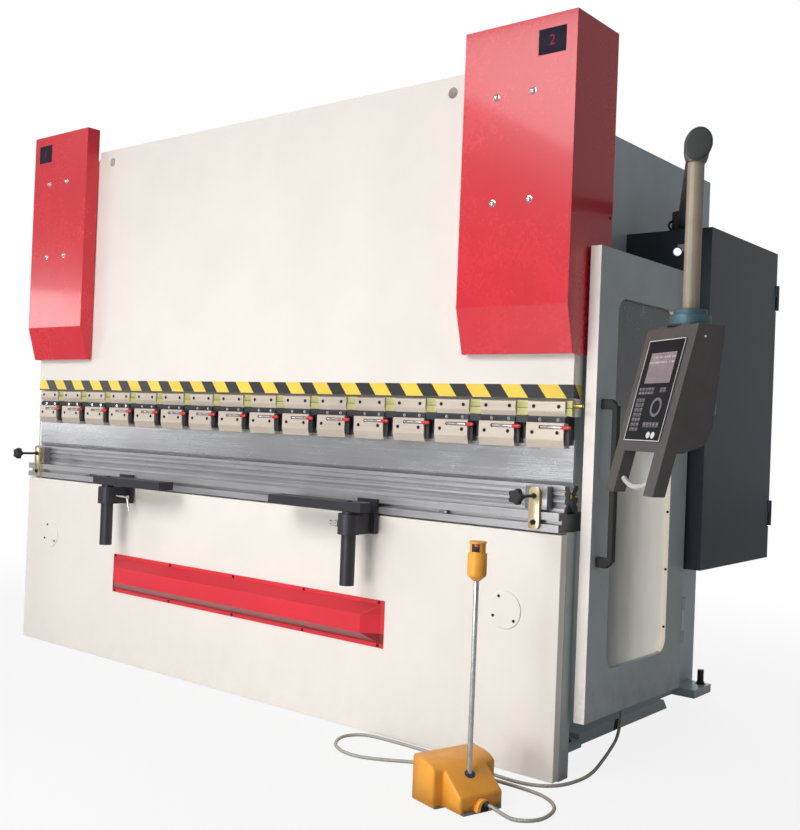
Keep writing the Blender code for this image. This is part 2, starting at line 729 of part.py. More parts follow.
def rectangle(low, high, radius=0.0, steps=4):
    """A rectangle between two flat corners, with rounded corners if a radius is given."""
    return filleted([(low[0], low[1], radius), (high[0], low[1], radius),
                     (high[0], high[1], radius), (low[0], high[1], radius)], steps)


def make_bed():
    """The bed plate, its apron and the covers on the apron."""
    keep(block((-HALF_LENGTH, -HALF_PLATE, 0), (HALF_LENGTH, HALF_PLATE, BED_HEIGHT)), "bed_plate", GREY)
    apron = block((-HALF_LENGTH, APRON_FACE, APRON_FOOT), (HALF_LENGTH, APRON_FACE + APRON_THICK, APRON_TOP))
    keep(apron, "apron_plate", WHITE)
    make_apron_panel()
    for label, side in SIDES:
        centre = (side * HAND_COVER_X, APRON_FACE - SEAT, HAND_COVER_Z)
        face = (centre[0], centre[1] - HAND_COVER_THICK, HAND_COVER_Z)
        keep(bar_between(centre, face, HAND_COVER_RADIUS, 40), f"round_cover_{label}", WHITE)


def make_apron_panel():
    """The raised red cover: a flange with a bevelled box on it."""
    back = APRON_FACE - SEAT
    flange = block((-PANEL_HALF, back - PANEL_FLANGE, PANEL_FOOT), (PANEL_HALF, back, PANEL_TOP))
    shape = bmesh.new()
    middle = Vector((0, back - PANEL_FLANGE, (PANEL_FOOT + PANEL_TOP) / 2))
    half_height = PANEL_HEIGHT / 2
    rim_x, rim_z = PANEL_HALF - PANEL_RIM, half_height - PANEL_RIM
    bmesh.ops.create_cube(shape, size=2.0)
    for vert in shape.verts:
        raised = vert.co.y < 0
        reach_x = PANEL_HALF - PANEL_INSET_X if raised else rim_x
        reach_z = half_height - PANEL_INSET_Z if raised else rim_z
        depth = -PANEL_RAISE if raised else PANEL_FLANGE / 2
        vert.co = middle + Vector((vert.co.x * reach_x, depth, vert.co.z * reach_z))
    keep(join(flange, as_object(shape)), "apron_panel", RED)


def vee_points(face, foot, vees, outward):
    """Corner points of V grooves on an upright face, from the top down; each is (depth below top, half)."""
    points = []
    for below, half in vees:
        height = foot - below
        points += [(face, height + half), (face - outward * half, height), (face, height - half)]
    return points


def make_tooling():
    """The die rail, the grooved die and the punch."""
    slot_back = RAIL_FACE + SLOT_NECK_DEPTH
    head_back = slot_back + SLOT_HEAD_DEPTH
    profile = [
        (RAIL_FACE, RAIL_FOOT), (RAIL_HALF, RAIL_FOOT), (RAIL_HALF, RAIL_TOP - RAIL_BEVEL),
        (RAIL_HALF - RAIL_BEVEL, RAIL_TOP), (RAIL_KEYWAY_HALF, RAIL_TOP),
        (RAIL_KEYWAY_HALF, RAIL_TOP - RAIL_KEYWAY_DEPTH), (-RAIL_KEYWAY_HALF, RAIL_TOP - RAIL_KEYWAY_DEPTH),
        (-RAIL_KEYWAY_HALF, RAIL_TOP), (RAIL_FACE, RAIL_TOP),
        (RAIL_FACE, SLOT_HEIGHT + SLOT_NECK / 2), (slot_back, SLOT_HEIGHT + SLOT_NECK / 2),
        (slot_back, SLOT_HEIGHT + SLOT_HEAD / 2), (head_back, SLOT_HEIGHT + SLOT_HEAD / 2),
        (head_back, SLOT_HEIGHT - SLOT_HEAD / 2), (slot_back, SLOT_HEIGHT - SLOT_HEAD / 2),
        (slot_back, SLOT_HEIGHT - SLOT_NECK / 2), (RAIL_FACE, SLOT_HEIGHT - SLOT_NECK / 2),
    ]
    reach = HALF_LENGTH - RAIL_END_MARGIN
    keep(extruded(profile, "X", -reach, reach), "die_rail", STEEL)
    half = DIE_HALF
    front = vee_points(-half, DIE_TOP, FRONT_VEES, -1)
    rear = vee_points(half, DIE_TOP, REAR_VEES, 1)
    die = [(-half, DIE_TOP)] + front + [
        (-half, DIE_FOOT), (-BOTTOM_VEE, DIE_FOOT), (0, DIE_FOOT + BOTTOM_VEE), (BOTTOM_VEE, DIE_FOOT),
        (half, DIE_FOOT)] + rear[::-1] + [
        (half, DIE_TOP), (TOP_VEE, DIE_TOP), (0, DIE_TOP - TOP_VEE), (-TOP_VEE, DIE_TOP)]
    reach = HALF_LENGTH - DIE_END_MARGIN
    keep(extruded(die, "X", -reach, reach), "grooved_die", STEEL)
    shoulder = PUNCH_TIP + PUNCH_TAPER
    punch = [(-PUNCH_TIP_HALF, PUNCH_TIP), (PUNCH_TIP_HALF, PUNCH_TIP), (PUNCH_HALF, shoulder),
             (PUNCH_HALF, PUNCH_TOP), (-PUNCH_HALF, PUNCH_TOP), (-PUNCH_HALF, shoulder)]
    keep(extruded(punch, "X", -HALF_LENGTH, HALF_LENGTH), "punch", BRIGHT)


def make_clamps():
    """The row of quick clamps under the ram, joined by their backing bar."""
    punch_face = -PUNCH_HALF
    jaw = PUNCH_HALF + SEAT
    top = CLAMP_BODY_TOP
    backing = [
        (jaw, CLAMP_FOOT), (CLAMP_BODY_BACK, CLAMP_FOOT), (CLAMP_BODY_BACK, top), (-CLAMP_TONGUE_FRONT, top),
        (-CLAMP_TONGUE_FRONT, CLAMP_TONGUE_FOOT), (punch_face, CLAMP_TONGUE_FOOT),
        (punch_face, PUNCH_TOP + SEAT), (jaw, PUNCH_TOP + SEAT)]
    reach = (CLAMP_COUNT - 1) * CLAMP_PITCH / 2 + CLAMP_WIDTH / 2
    row = extruded(backing, "X", -reach, reach)
    lower = [
        (-CLAMP_LOWER_FRONT, CLAMP_FOOT + CLAMP_LOWER_SLOPE), (-CLAMP_LOWER_FRONT + CLAMP_SLOPE_DEPTH, CLAMP_FOOT),
        (punch_face - SEAT, CLAMP_FOOT), (punch_face - SEAT, PUNCH_TOP + 2 * SEAT),
        (punch_face + CLAMP_MERGE, PUNCH_TOP + 2 * SEAT), (punch_face + CLAMP_MERGE, CLAMP_LOWER_TOP),
        (-CLAMP_LOWER_FRONT, CLAMP_LOWER_TOP)]
    rebate_face = -HALF_PLATE + RAM_REBATE_DEPTH
    foot = CLAMP_BODY_TOP - CLAMP_UPPER_LAP
    upper = [
        (-CLAMP_UPPER_FRONT, foot + CLAMP_UPPER_SLOPE), (-CLAMP_UPPER_FRONT + CLAMP_SLOPE_DEPTH, foot),
        (rebate_face - SEAT, foot), (rebate_face - SEAT, foot + CLAMP_UPPER_HEIGHT),
        (-CLAMP_UPPER_FRONT, foot + CLAMP_UPPER_HEIGHT)]
    plates = []
    for index in range(CLAMP_COUNT):
        middle = (index - (CLAMP_COUNT - 1) / 2) * CLAMP_PITCH
        for outline in (lower, upper):
            plates.append(extruded(outline, "X", middle - CLAMP_WIDTH / 2, middle + CLAMP_WIDTH / 2))
    keep(join(row, *plates), "tool_clamps", TOOL)


def make_ram():
    """The ram plate with its shoulders under the cylinders, lifting holes and front rebate."""
    half = [
        (HALF_LENGTH, RAM_FOOT, 0), (HALF_LENGTH, RAM_SHOULDER, 0), (RAM_NECK_HALF, RAM_SHOULDER, RAM_FILLET),
        (RAM_NECK_HALF, RAM_TOP - RAM_CORNER_DROP - RAM_CORNER_SLOPE, 0),
        (RAM_TOP_HALF, RAM_TOP - RAM_CORNER_DROP, 0), (RAM_TOP_HALF, RAM_TOP, 0)]
    corners = half + [(-across, up, radius) for across, up, radius in half[::-1]]
    plate = extruded(filleted(corners), "Y", -HALF_PLATE, HALF_PLATE)
    rebate = block((-HALF_LENGTH - 0.1, -HALF_PLATE - 0.1, RAM_FOOT - 0.1),
                   (HALF_LENGTH + 0.1, -HALF_PLATE + RAM_REBATE_DEPTH, RAM_REBATE_TOP))
    holes = [bar_between((side * LIFT_HOLE_X, -0.1, LIFT_HOLE_Z), (side * LIFT_HOLE_X, 0.1, LIFT_HOLE_Z),
                         LIFT_HOLE_RADIUS, 24) for label, side in SIDES]
    keep(cut(plate, rebate, *holes), "ram_plate", WHITE)


def make_cylinders():
    """The two hydraulic cylinders, their piston rods and the ram guides."""
    for label, side in SIDES:
        centre = side * CYLINDER_X
        body = bar_between((centre, 0, CYLINDER_FOOT), (centre, 0, CYLINDER_TOP), CYLINDER_RADIUS, 32)
        mount_face = FRAME_HEAD_FRONT - MOUNT_PLATE_THICK - SEAT
        flange = block((centre - FLANGE_HALF, -FLANGE_FRONT, FLANGE_FOOT),
                       (centre + FLANGE_HALF, mount_face, FLANGE_TOP))
        body = join(body, flange)
        bore = bar_between((centre, 0, CYLINDER_FOOT - 0.1), (centre, 0, CYLINDER_TOP - CYLINDER_END_WALL),
                           CYLINDER_BORE, 32)
        keep(cut(body, bore), f"cylinder_{label}", BLACK)
        rod = bar_between((centre, 0, RAM_SHOULDER + SEAT), (centre, 0, CYLINDER_FOOT + PISTON_OVERLAP),
                          PISTON_RADIUS, 32)
        keep(rod, f"piston_rod_{label}", BRIGHT)
        low, high = span(side, FRAME_INNER - GUIDE_OVERHANG, FRAME_INNER - GUIDE_OVERHANG + GUIDE_WIDTH)
        guide = block((low, HALF_PLATE + SEAT, GUIDE_FOOT),
                      (high, FRAME_HEAD_FRONT - SEAT, GUIDE_FOOT + GUIDE_HEIGHT))
        keep(guide, f"ram_guide_{label}", STEEL)


def make_covers():
    """The red sheet covers in front of the cylinders, open behind and below."""
    inner_back = -HALF_PLATE - RUNNING_GAP
    skin = COVER_SHEET
    for label, side in SIDES:
        outline = [
            (-COVER_FRONT, COVER_TOP), (COVER_DEPTH_BEHIND, COVER_TOP), (COVER_DEPTH_BEHIND, COVER_FOOT),
            (-COVER_FOOT_FRONT, COVER_FOOT), (-COVER_FRONT, COVER_CHAMFER)]
        low, high = span(side, COVER_INNER, COVER_OUTER)
        cover = extruded(outline, "X", low, high)
        hollow = [
            (-COVER_FRONT + skin, COVER_TOP - skin), (COVER_DEPTH_BEHIND + 0.1, COVER_TOP - skin),
            (COVER_DEPTH_BEHIND + 0.1, COVER_FOOT - 0.1), (-COVER_FOOT_FRONT + skin, COVER_FOOT - 0.1),
            (-COVER_FOOT_FRONT + skin, COVER_FOOT), (-COVER_FRONT + skin, COVER_CHAMFER)]
        inside = extruded(hollow, "X", low + skin, high - skin)
        low, high = span(side, COVER_INNER - 0.1, COVER_INNER + 2 * skin)
        slot = block((low, inner_back, COVER_FOOT - 0.1), (high, COVER_DEPTH_BEHIND + 0.1, COVER_TOP - skin))
        near = COVER_INNER + 2 * skin
        back = COVER_DEPTH_BEHIND + 0.1
        corner = [(side * (COVER_INNER - 0.1), inner_back), (side * near, inner_back),
                  (side * (near + (back - inner_back) * COVER_SLANT), back), (side * (COVER_INNER - 0.1), back)]
        notch = extruded(corner, "Z", COVER_TOP - 2 * skin, COVER_TOP + 0.1)
        keep(cut(cut(cover, inside), slot, notch), f"cylinder_cover_{label}", RED)


def make_side_frames():
    """The two C-shaped side plates with feet, sill, cylinder mount, cover bracket and hinge tabs."""
    outline = filleted([
        (PLATE_BACK, 0, 0), (FRAME_DEPTH, 0, 0),
        (FRAME_DEPTH, FRAME_TOP, 0), (FRAME_HEAD_FRONT, FRAME_TOP, 0),
        (FRAME_HEAD_FRONT, THROAT_TOP, 0), (THROAT_BACK, THROAT_TOP, THROAT_FILLET),
        (THROAT_BACK, THROAT_FOOT, THROAT_FILLET), (PLATE_BACK, THROAT_FOOT, 0)], 6)
    overlap = FRAME_OVERLAP
    rear_foot = FRAME_DEPTH - REAR_FOOT_MARGIN
    for label, side in SIDES:
        low, high = span(side, FRAME_INNER, FRAME_OUTER)
        frame = extruded(outline, "X", low, high)
        low, high = span(side, FRAME_OUTER - overlap, FRAME_OUTER + FOOT_REACH)
        parts = [block((low, rear_foot - REAR_FOOT_LENGTH, 0), (high, rear_foot, REAR_FOOT_THICK)),
                 block((low, FRONT_FOOT_START, 0),
                       (high, FRONT_FOOT_START + FRONT_FOOT_LENGTH, FRONT_FOOT_THICK))]
        sill = [(SILL_START, SILL_FOOT), (SILL_END, SILL_FOOT), (SILL_END - SILL_REAR_SLOPE, SILL_THICK),
                (SILL_START, SILL_THICK)]
        low, high = span(side, FRAME_OUTER - overlap, FRAME_OUTER + SILL_REACH)
        parts.append(extruded(sill, "X", low, high))
        low, high = span(side, CYLINDER_X - MOUNT_PLATE_HALF, CYLINDER_X + MOUNT_PLATE_HALF)
        parts.append(block((low, FRAME_HEAD_FRONT - MOUNT_PLATE_THICK, MOUNT_PLATE_FOOT),
                           (high, FRAME_HEAD_FRONT + overlap, MOUNT_PLATE_TOP)))
        low, high = span(side, CYLINDER_X + MOUNT_PLATE_HALF - overlap, COVER_OUTER - COVER_SHEET - SEAT)
        parts.append(block((low, FRAME_HEAD_FRONT - COVER_BRACKET[0], MOUNT_PLATE_TOP - COVER_BRACKET[1]),
                           (high, FRAME_HEAD_FRONT, MOUNT_PLATE_TOP - overlap)))
        low, high = span(side, FRAME_OUTER - overlap, DOOR_OUTER - HINGE_RADIUS / 2)
        for foot in HINGE_TAB_FEET:
            top = foot + HINGE_TAB_HEIGHT
            tab = block((low, HINGE_Y - HINGE_TAB_FRONT, foot),
                        (high, HINGE_Y - HINGE_TAB_FRONT + HINGE_TAB_THICK, top))
            barrel = bar_between((side * DOOR_OUTER, HINGE_Y, foot), (side * DOOR_OUTER, HINGE_Y, top),
                                 HINGE_RADIUS, 16)
            parts.append(join(tab, barrel))
        keep(join(frame, *parts), f"side_frame_{label}", GREY)


def make_rear():
    """The oil tank with its pump motor, the tie plate and the back gauge."""
    reach = FRAME_INNER - SEAT
    tank = block((-reach, TANK_FRONT, TANK_TOP - TANK_HEIGHT), (reach, TANK_FRONT + TANK_DEPTH, TANK_TOP))
    keep(tank, "oil_tank", GREY)
    middle = TANK_FRONT + TANK_DEPTH / 2
    height = TANK_TOP + SEAT + MOTOR_RADIUS + MOTOR_LIFT
    end = MOTOR_X + MOTOR_LENGTH
    motor = bar_between((MOTOR_X, middle, height), (end, middle, height), MOTOR_BODY_RADIUS, 32)
    ribs = []
    for index in range(MOTOR_RIB_COUNT):
        share = index / (MOTOR_RIB_COUNT - 1)
        at = MOTOR_X + MOTOR_RIB_MARGIN + share * (MOTOR_LENGTH - 2 * MOTOR_RIB_MARGIN)
        ribs.append(bar_between((at - MOTOR_RIB_THICK / 2, middle, height),
                                (at + MOTOR_RIB_THICK / 2, middle, height), MOTOR_RADIUS, 32))
    foot = block((MOTOR_X + MOTOR_FOOT_MARGIN, middle - MOTOR_FOOT_HALF, TANK_TOP + SEAT),
                 (end - MOTOR_FOOT_MARGIN, middle + MOTOR_FOOT_HALF, height - MOTOR_BODY_RADIUS / 2))
    bell = bar_between((end - MOTOR_LIFT, middle, height), (end + BELL_LENGTH, middle, height),
                       BELL_RADIUS, 32)
    keep(join(motor, foot, bell, *ribs), "pump_motor", BLACK)
    keep(block((-reach, TIE_FRONT, TIE_FOOT), (reach, TIE_BACK, TIE_TOP)), "tie_plate", GREY)
    make_back_gauge()


def make_back_gauge():
    """The gauge beam on posts over two slides on the bed's back, and two stepped fingers."""
    post_middle = (GAUGE_BEAM_FRONT + GAUGE_BEAM_BACK) / 2
    beam = block((-GAUGE_BEAM_HALF, GAUGE_BEAM_FRONT, GAUGE_BEAM_FOOT),
                 (GAUGE_BEAM_HALF, GAUGE_BEAM_BACK, GAUGE_BEAM_TOP))
    keep(beam, "gauge_beam", GREY)
    for label, side in SIDES:
        middle = side * GAUGE_SLIDE_X
        slide = block((middle - GAUGE_SLIDE_WIDTH / 2, PLATE_BACK, GAUGE_SLIDE_FOOT),
                      (middle + GAUGE_SLIDE_WIDTH / 2, TIE_FRONT + GAUGE_SLIDE_REACH, GAUGE_SLIDE_TOP))
        lap = FRAME_OVERLAP
        web = extruded([(PLATE_BACK, GAUGE_SLIDE_FOOT - 2 * GAUGE_SLIDE_HEIGHT),
                        (TIE_FRONT - SEAT, TIE_TOP - 2 * lap), (TIE_FRONT - SEAT, GAUGE_SLIDE_FOOT + lap),
                        (PLATE_BACK, GAUGE_SLIDE_FOOT + lap)],
                       "X", middle - GAUGE_WEB_HALF, middle + GAUGE_WEB_HALF)
        post = block((middle - GAUGE_POST_HALF, post_middle - GAUGE_POST_DEPTH / 2, GAUGE_SLIDE_TOP - lap),
                     (middle + GAUGE_POST_HALF, post_middle + GAUGE_POST_DEPTH / 2, GAUGE_BEAM_FOOT - SEAT))
        keep(join(slide, web, post), f"gauge_slide_{label}", STEEL)
        make_gauge_finger(label, side * GAUGE_FINGER_X)


def make_gauge_finger(label, middle):
    """A stop finger that lies on the gauge beam and steps forward to the die."""
    foot = GAUGE_BEAM_TOP + SEAT
    heel = GAUGE_BEAM_BACK - GAUGE_HEEL_INSET
    step = GAUGE_FINGER_NOSE + GAUGE_STEP_LENGTH
    chin = GAUGE_FINGER_NOSE + GAUGE_CHIN_LENGTH
    outline = [
        (heel, foot), (heel, foot + GAUGE_HEEL_HEIGHT), (step, foot + GAUGE_ARM_TOP),
        (step, foot + GAUGE_STEP_TOP), (GAUGE_FINGER_NOSE, foot + GAUGE_STEP_TOP),
        (GAUGE_FINGER_NOSE, foot + GAUGE_NOSE_FOOT), (chin, foot + GAUGE_CHIN_RISE),
        (GAUGE_BEAM_FRONT - GAUGE_THROAT_LENGTH, foot + GAUGE_THROAT_RISE),
        (GAUGE_BEAM_FRONT - GAUGE_TOE_LENGTH, foot)]
    finger = extruded(outline, "X", middle - GAUGE_FINGER_HALF, middle + GAUGE_FINGER_HALF)
    keep(finger, f"gauge_finger_{label}", STEEL)


def make_end_clamps():
    """The strip clamps at the rail ends with their pressure block, rod and star knob."""
    face = RAIL_FACE - SEAT
    front = face - END_CLAMP_THICK
    for label, side in SIDES:
        middle = side * END_CLAMP_X
        strip = extruded(
            rectangle((middle - END_CLAMP_HALF, END_CLAMP_FOOT),
                      (middle + END_CLAMP_HALF, END_CLAMP_FOOT + END_CLAMP_HEIGHT), END_CLAMP_CORNER, 6),
            "Y", front, face)
        jaw = block((middle - END_BLOCK_HALF, face - END_BLOCK_LAP, END_BLOCK_FOOT),
                    (middle + END_BLOCK_HALF, -DIE_HALF - SEAT, END_BLOCK_FOOT + END_BLOCK_HEIGHT))
        tip = front - END_ROD_LENGTH
        rod = bar_between((middle, front + END_BLOCK_LAP, END_ROD_Z), (middle, tip, END_ROD_Z),
                          END_ROD_RADIUS, 12)
        keep(join(strip, jaw, rod, star(middle, tip + KNOB_LAP)), f"end_clamp_{label}", ZINC)


def star(middle, back):
    """A star knob whose back is at a depth."""
    outline = []
    steps = KNOB_LOBES * 8
    for step in range(steps):
        angle = math.tau * step / steps
        radius = KNOB_RADIUS * (0.87 + 0.13 * math.cos(KNOB_LOBES * angle))
        outline.append((middle + radius * math.cos(angle), END_ROD_Z + radius * math.sin(angle)))
    return extruded(outline, "Y", back - KNOB_THICK, back)


def make_supports():
    """The two front sheet supports: bracket on the T-slot, round post and swivelling bar."""
    nut_neck = SLOT_NECK - 2 * SLIDE_GAP
    nut_head = SLOT_HEAD - 2 * SLIDE_GAP
    rail = RAIL_FACE - SEAT
    for label, side in SIDES:
        middle = side * SUPPORT_X
        barrel = bar_between((middle, POST_Y, BRACKET_FOOT), (middle, POST_Y, BRACKET_TOP),
                             BARREL_RADIUS, 32)
        arm = block((middle - BRACKET_ARM_HALF, POST_Y, BRACKET_FOOT),
                    (middle + BRACKET_ARM_HALF, rail - NUT_LAP, BRACKET_TOP))
        back = block((middle - BRACKET_BACK_HALF, rail - BRACKET_BACK_THICK, BRACKET_FOOT),
                     (middle + BRACKET_BACK_HALF, rail, BRACKET_TOP + BRACKET_BACK_RISE))
        hook = block((middle - BRACKET_BACK_HALF, rail - HOOK_THICK, BRACKET_FOOT),
                     (middle + BRACKET_BACK_HALF, rail, BRACKET_TOP + HOOK_RISE))
        neck = block((middle - NUT_HALF, rail - NUT_LAP, SLOT_HEIGHT - nut_neck / 2),
                     (middle + NUT_HALF, RAIL_FACE + SLOT_NECK_DEPTH + NUT_LAP, SLOT_HEIGHT + nut_neck / 2))
        head = block((middle - NUT_HALF, RAIL_FACE + SLOT_NECK_DEPTH + SLIDE_GAP, SLOT_HEIGHT - nut_head / 2),
                     (middle + NUT_HALF, RAIL_FACE + SLOT_NECK_DEPTH + SLOT_HEAD_DEPTH - SLIDE_GAP,
                      SLOT_HEIGHT + nut_head / 2))
        bracket = join(barrel, arm, back, hook, neck, head)
        bore = bar_between((middle, POST_Y, BRACKET_FOOT - 0.1), (middle, POST_Y, BRACKET_TOP + 0.1),
                           POST_RADIUS + SEAT, 32)
        keep(cut(bracket, bore), f"support_bracket_{label}", BLACK)
        post = bar_between((middle, POST_Y, POST_FOOT), (middle, POST_Y, BAR_FOOT - SEAT), POST_RADIUS, 32)
        keep(post, f"support_post_{label}", BLACK)
        inward = -side
        front, rear = POST_Y - BAR_FRONT, POST_Y + BAR_BACK
        near, far = middle - inward * BAR_NEAR, middle + inward * BAR_FAR
        outline = [
            (near, front + BAR_SMALL_BEVEL), (near + inward * BAR_SMALL_BEVEL, front),
            (far, front), (far, rear),
            (near + inward * BAR_BEVEL, rear), (near, rear - BAR_BEVEL)]
        keep(extruded(outline, "Z", BAR_FOOT, BAR_TOP), f"support_bar_{label}", BLACK)


def make_doors():
    """The side guard doors with a clear window, a pull handle and hinge knuckles."""
    low_corner = (DOOR_START + WINDOW_MARGIN_Y, DOOR_FOOT + WINDOW_MARGIN_Z)
    high_corner = (DOOR_END - WINDOW_MARGIN_Y, DOOR_TOP - WINDOW_MARGIN_Z)
    window = rectangle(low_corner, high_corner, WINDOW_RADIUS, 6)
    pane = rectangle([place + SEAT for place in low_corner], [place - SEAT for place in high_corner],
                     WINDOW_RADIUS, 6)
    for label, side in SIDES:
        low, high = span(side, DOOR_OUTER - DOOR_THICK, DOOR_OUTER)
        panel = extruded(rectangle((DOOR_START, DOOR_FOOT), (DOOR_END, DOOR_TOP)), "X", low, high, (window,))
        knuckles = []
        for foot in HINGE_TAB_FEET:
            for start in (foot + HINGE_TAB_HEIGHT + SEAT, foot - SEAT - KNUCKLE_LENGTH):
                knuckles.append(bar_between((side * DOOR_OUTER, HINGE_Y, start),
                                            (side * DOOR_OUTER, HINGE_Y, start + KNUCKLE_LENGTH),
                                            KNUCKLE_RADIUS, 16))
        keep(join(panel, *knuckles), f"side_door_{label}", GREY)
        pane_middle = side * (DOOR_OUTER - DOOR_THICK / 2)
        glass = extruded(pane, "X", pane_middle - GLASS_HALF, pane_middle + GLASS_HALF)
        keep(glass, f"door_window_{label}", GLASS)
        root = side * (DOOR_OUTER + SEAT)
        tip = side * (DOOR_OUTER + HANDLE_REACH)
        inner = side * (DOOR_OUTER + HANDLE_REACH - HANDLE_BAR)
        chamfer = tip - side * HANDLE_CHAMFER
        foot = DOOR_FOOT + HANDLE_LIFT
        top = foot + HANDLE_HEIGHT
        outline = [
            (root, foot), (chamfer, foot), (tip, foot + HANDLE_CHAMFER), (tip, top - HANDLE_CHAMFER),
            (chamfer, top), (root, top), (root, top - HANDLE_LEG), (inner, top - HANDLE_LEG),
            (inner, foot + HANDLE_LEG), (root, foot + HANDLE_LEG)]
        handle = extruded(outline, "Y", HANDLE_Y - HANDLE_HALF, HANDLE_Y + HANDLE_HALF)
        keep(handle, f"door_handle_{label}", RUBBER)


def make_cabinet():
    """The electrical cabinet on the right side frame, its door and its gear plate."""
    skin = CABINET_SHEET
    back = FRAME_OUTER + SEAT
    body = block((back, CABINET_FRONT, CABINET_FOOT), (CABINET_FACE, CABINET_REAR, CABINET_TOP))
    room = block((back + skin, CABINET_FRONT + skin, CABINET_FOOT + skin),
                 (CABINET_FACE + 0.1, CABINET_REAR - skin, CABINET_TOP - skin))
    leaves = []
    for foot in CABINET_LEAF_FEET:
        top = foot + CABINET_LEAF
        leaf = block((CABINET_FACE - CABINET_LEAF_LAP, CABINET_REAR - skin / 2, foot),
                     (CABINET_AXIS_X, CABINET_REAR + CABINET_LEAF_THICK, top))
        barrel = bar_between((CABINET_AXIS_X, CABINET_AXIS_Y, foot), (CABINET_AXIS_X, CABINET_AXIS_Y, top),
                             CABINET_KNUCKLE, 16)
        leaves.append(join(leaf, barrel))
    keep(join(cut(body, room), *leaves), "cabinet_body", DARK)
    make_cabinet_door()
    make_gear_plate(back + skin)


def make_cabinet_door():
    """The cabinet's door with its knuckles above those of the body."""
    low, high = CABINET_FACE + SEAT, CABINET_FACE + CABINET_DOOR_THICK
    door = block((low, CABINET_FRONT, CABINET_FOOT), (high, CABINET_REAR - SEAT, CABINET_TOP))
    relief = []
    parts = []
    for foot in CABINET_LEAF_FEET:
        start = foot + CABINET_LEAF + SEAT
        knuckle = bar_between((CABINET_AXIS_X, CABINET_AXIS_Y, start),
                              (CABINET_AXIS_X, CABINET_AXIS_Y, start + CABINET_KNUCKLE_LENGTH),
                              CABINET_KNUCKLE, 16)
        leaf = block((high - CABINET_SHEET, CABINET_REAR - CABINET_DOOR_THICK, start),
                     (CABINET_AXIS_X, CABINET_AXIS_Y, start + CABINET_KNUCKLE_LENGTH))
        parts.append(join(knuckle, leaf))
        relief.append(block((low - 0.01, CABINET_REAR - 0.012, foot - 0.003),
                            (high + 0.01, CABINET_REAR + 0.02, start - SEAT / 2)))
    keep(join(cut(door, *relief), *parts), "cabinet_door", DARK)


def make_gear_plate(wall):
    """The mounting plate inside the cabinet with rows of switch gear."""
    margin, inset, half = GEAR_PLATE_MARGIN, GEAR_STUD_INSET, GEAR_STUD_HALF
    low = (wall + GEAR_PLATE_STAND, CABINET_FRONT + margin, CABINET_FOOT + margin)
    high = (low[0] + GEAR_PLATE_THICK, CABINET_REAR - margin, CABINET_TOP - margin)
    lap = GEAR_PLATE_THICK / 2
    rows = []
    for index in range(GEAR_ROW_COUNT):
        foot = low[2] + GEAR_ROW_FIRST + index * GEAR_ROW_PITCH
        rows.append(block((high[0] - lap, low[1] + GEAR_ROW_INSET, foot),
                          (high[0] + GEAR_ROW_DEPTH, high[1] - GEAR_ROW_INSET, foot + GEAR_ROW_HEIGHT)))
    for across in (low[1] + inset, high[1] - inset):
        for up in (low[2] + inset, high[2] - inset):
            rows.append(block((wall + SEAT, across - half, up - half),
                              (low[0] + lap, across + half, up + half)))
    keep(join(block(low, high), *rows), "gear_plate", GREY)


def make_arm():
    """The pendant arm: flange on the cabinet, swivelling boom, elbow and hanging tube."""
    base = Vector((ARM_BASE_X, ARM_BASE_Y, 0))
    tube = Vector((ARM_TUBE_X, ARM_TUBE_Y, 0))
    foot = CABINET_TOP + SEAT
    rise = Vector((0, 0, 1))
    flange = bar_between(base + rise * foot, base + rise * (foot + ARM_FLANGE_THICK), ARM_FLANGE_RADIUS, 32)
    keep(flange, "arm_flange", BLACK)
    head = bar_between(base + rise * (foot + ARM_FLANGE_THICK + SEAT),
                       base + rise * (ARM_HEIGHT + ARM_HEAD_RISE), ARM_HEAD_RADIUS, 32)
    boom = bar_between(base + rise * ARM_HEIGHT, tube + rise * ARM_HEIGHT, ARM_RADIUS, 24)
    neck = turned([(0, ARM_HEIGHT), (ELBOW_NECK_RADIUS, ARM_HEIGHT),
                   (ELBOW_NECK_RADIUS, ELBOW_FOOT + ELBOW_SHOULDER), (ELBOW_FOOT_RADIUS, ELBOW_FOOT),
                   (0, ELBOW_FOOT)], tube)
    along = (tube - base).normalized()
    across = rise.cross(along)
    middle = tube + rise * (ARM_HEIGHT - ELBOW_MIDDLE_DROP)
    rings = []
    for depth, scale in ELBOW_RINGS:
        ring = []
        for step in range(32):
            turn = math.tau * step / 32
            lean = ELBOW_OFFSET + ELBOW_LEAN * max(0.0, math.sin(turn)) ** 2
            out = scale * (lean + ELBOW_HALF * math.cos(turn))
            up = scale * (ELBOW_HALF_HEIGHT * math.sin(turn) + ELBOW_SKEW * math.cos(turn))
            ring.append(middle + along * depth + across * out + rise * up)
        rings.append(ring)
    keep(join(head, boom, neck, lofted(rings)), "arm_boom", HOUSING)
    pipe = bar_between(tube + rise * TUBE_FOOT, tube + rise * (ELBOW_FOOT - SEAT), ARM_RADIUS, 24)
    keep(pipe, "arm_tube", CHAMPAGNE)


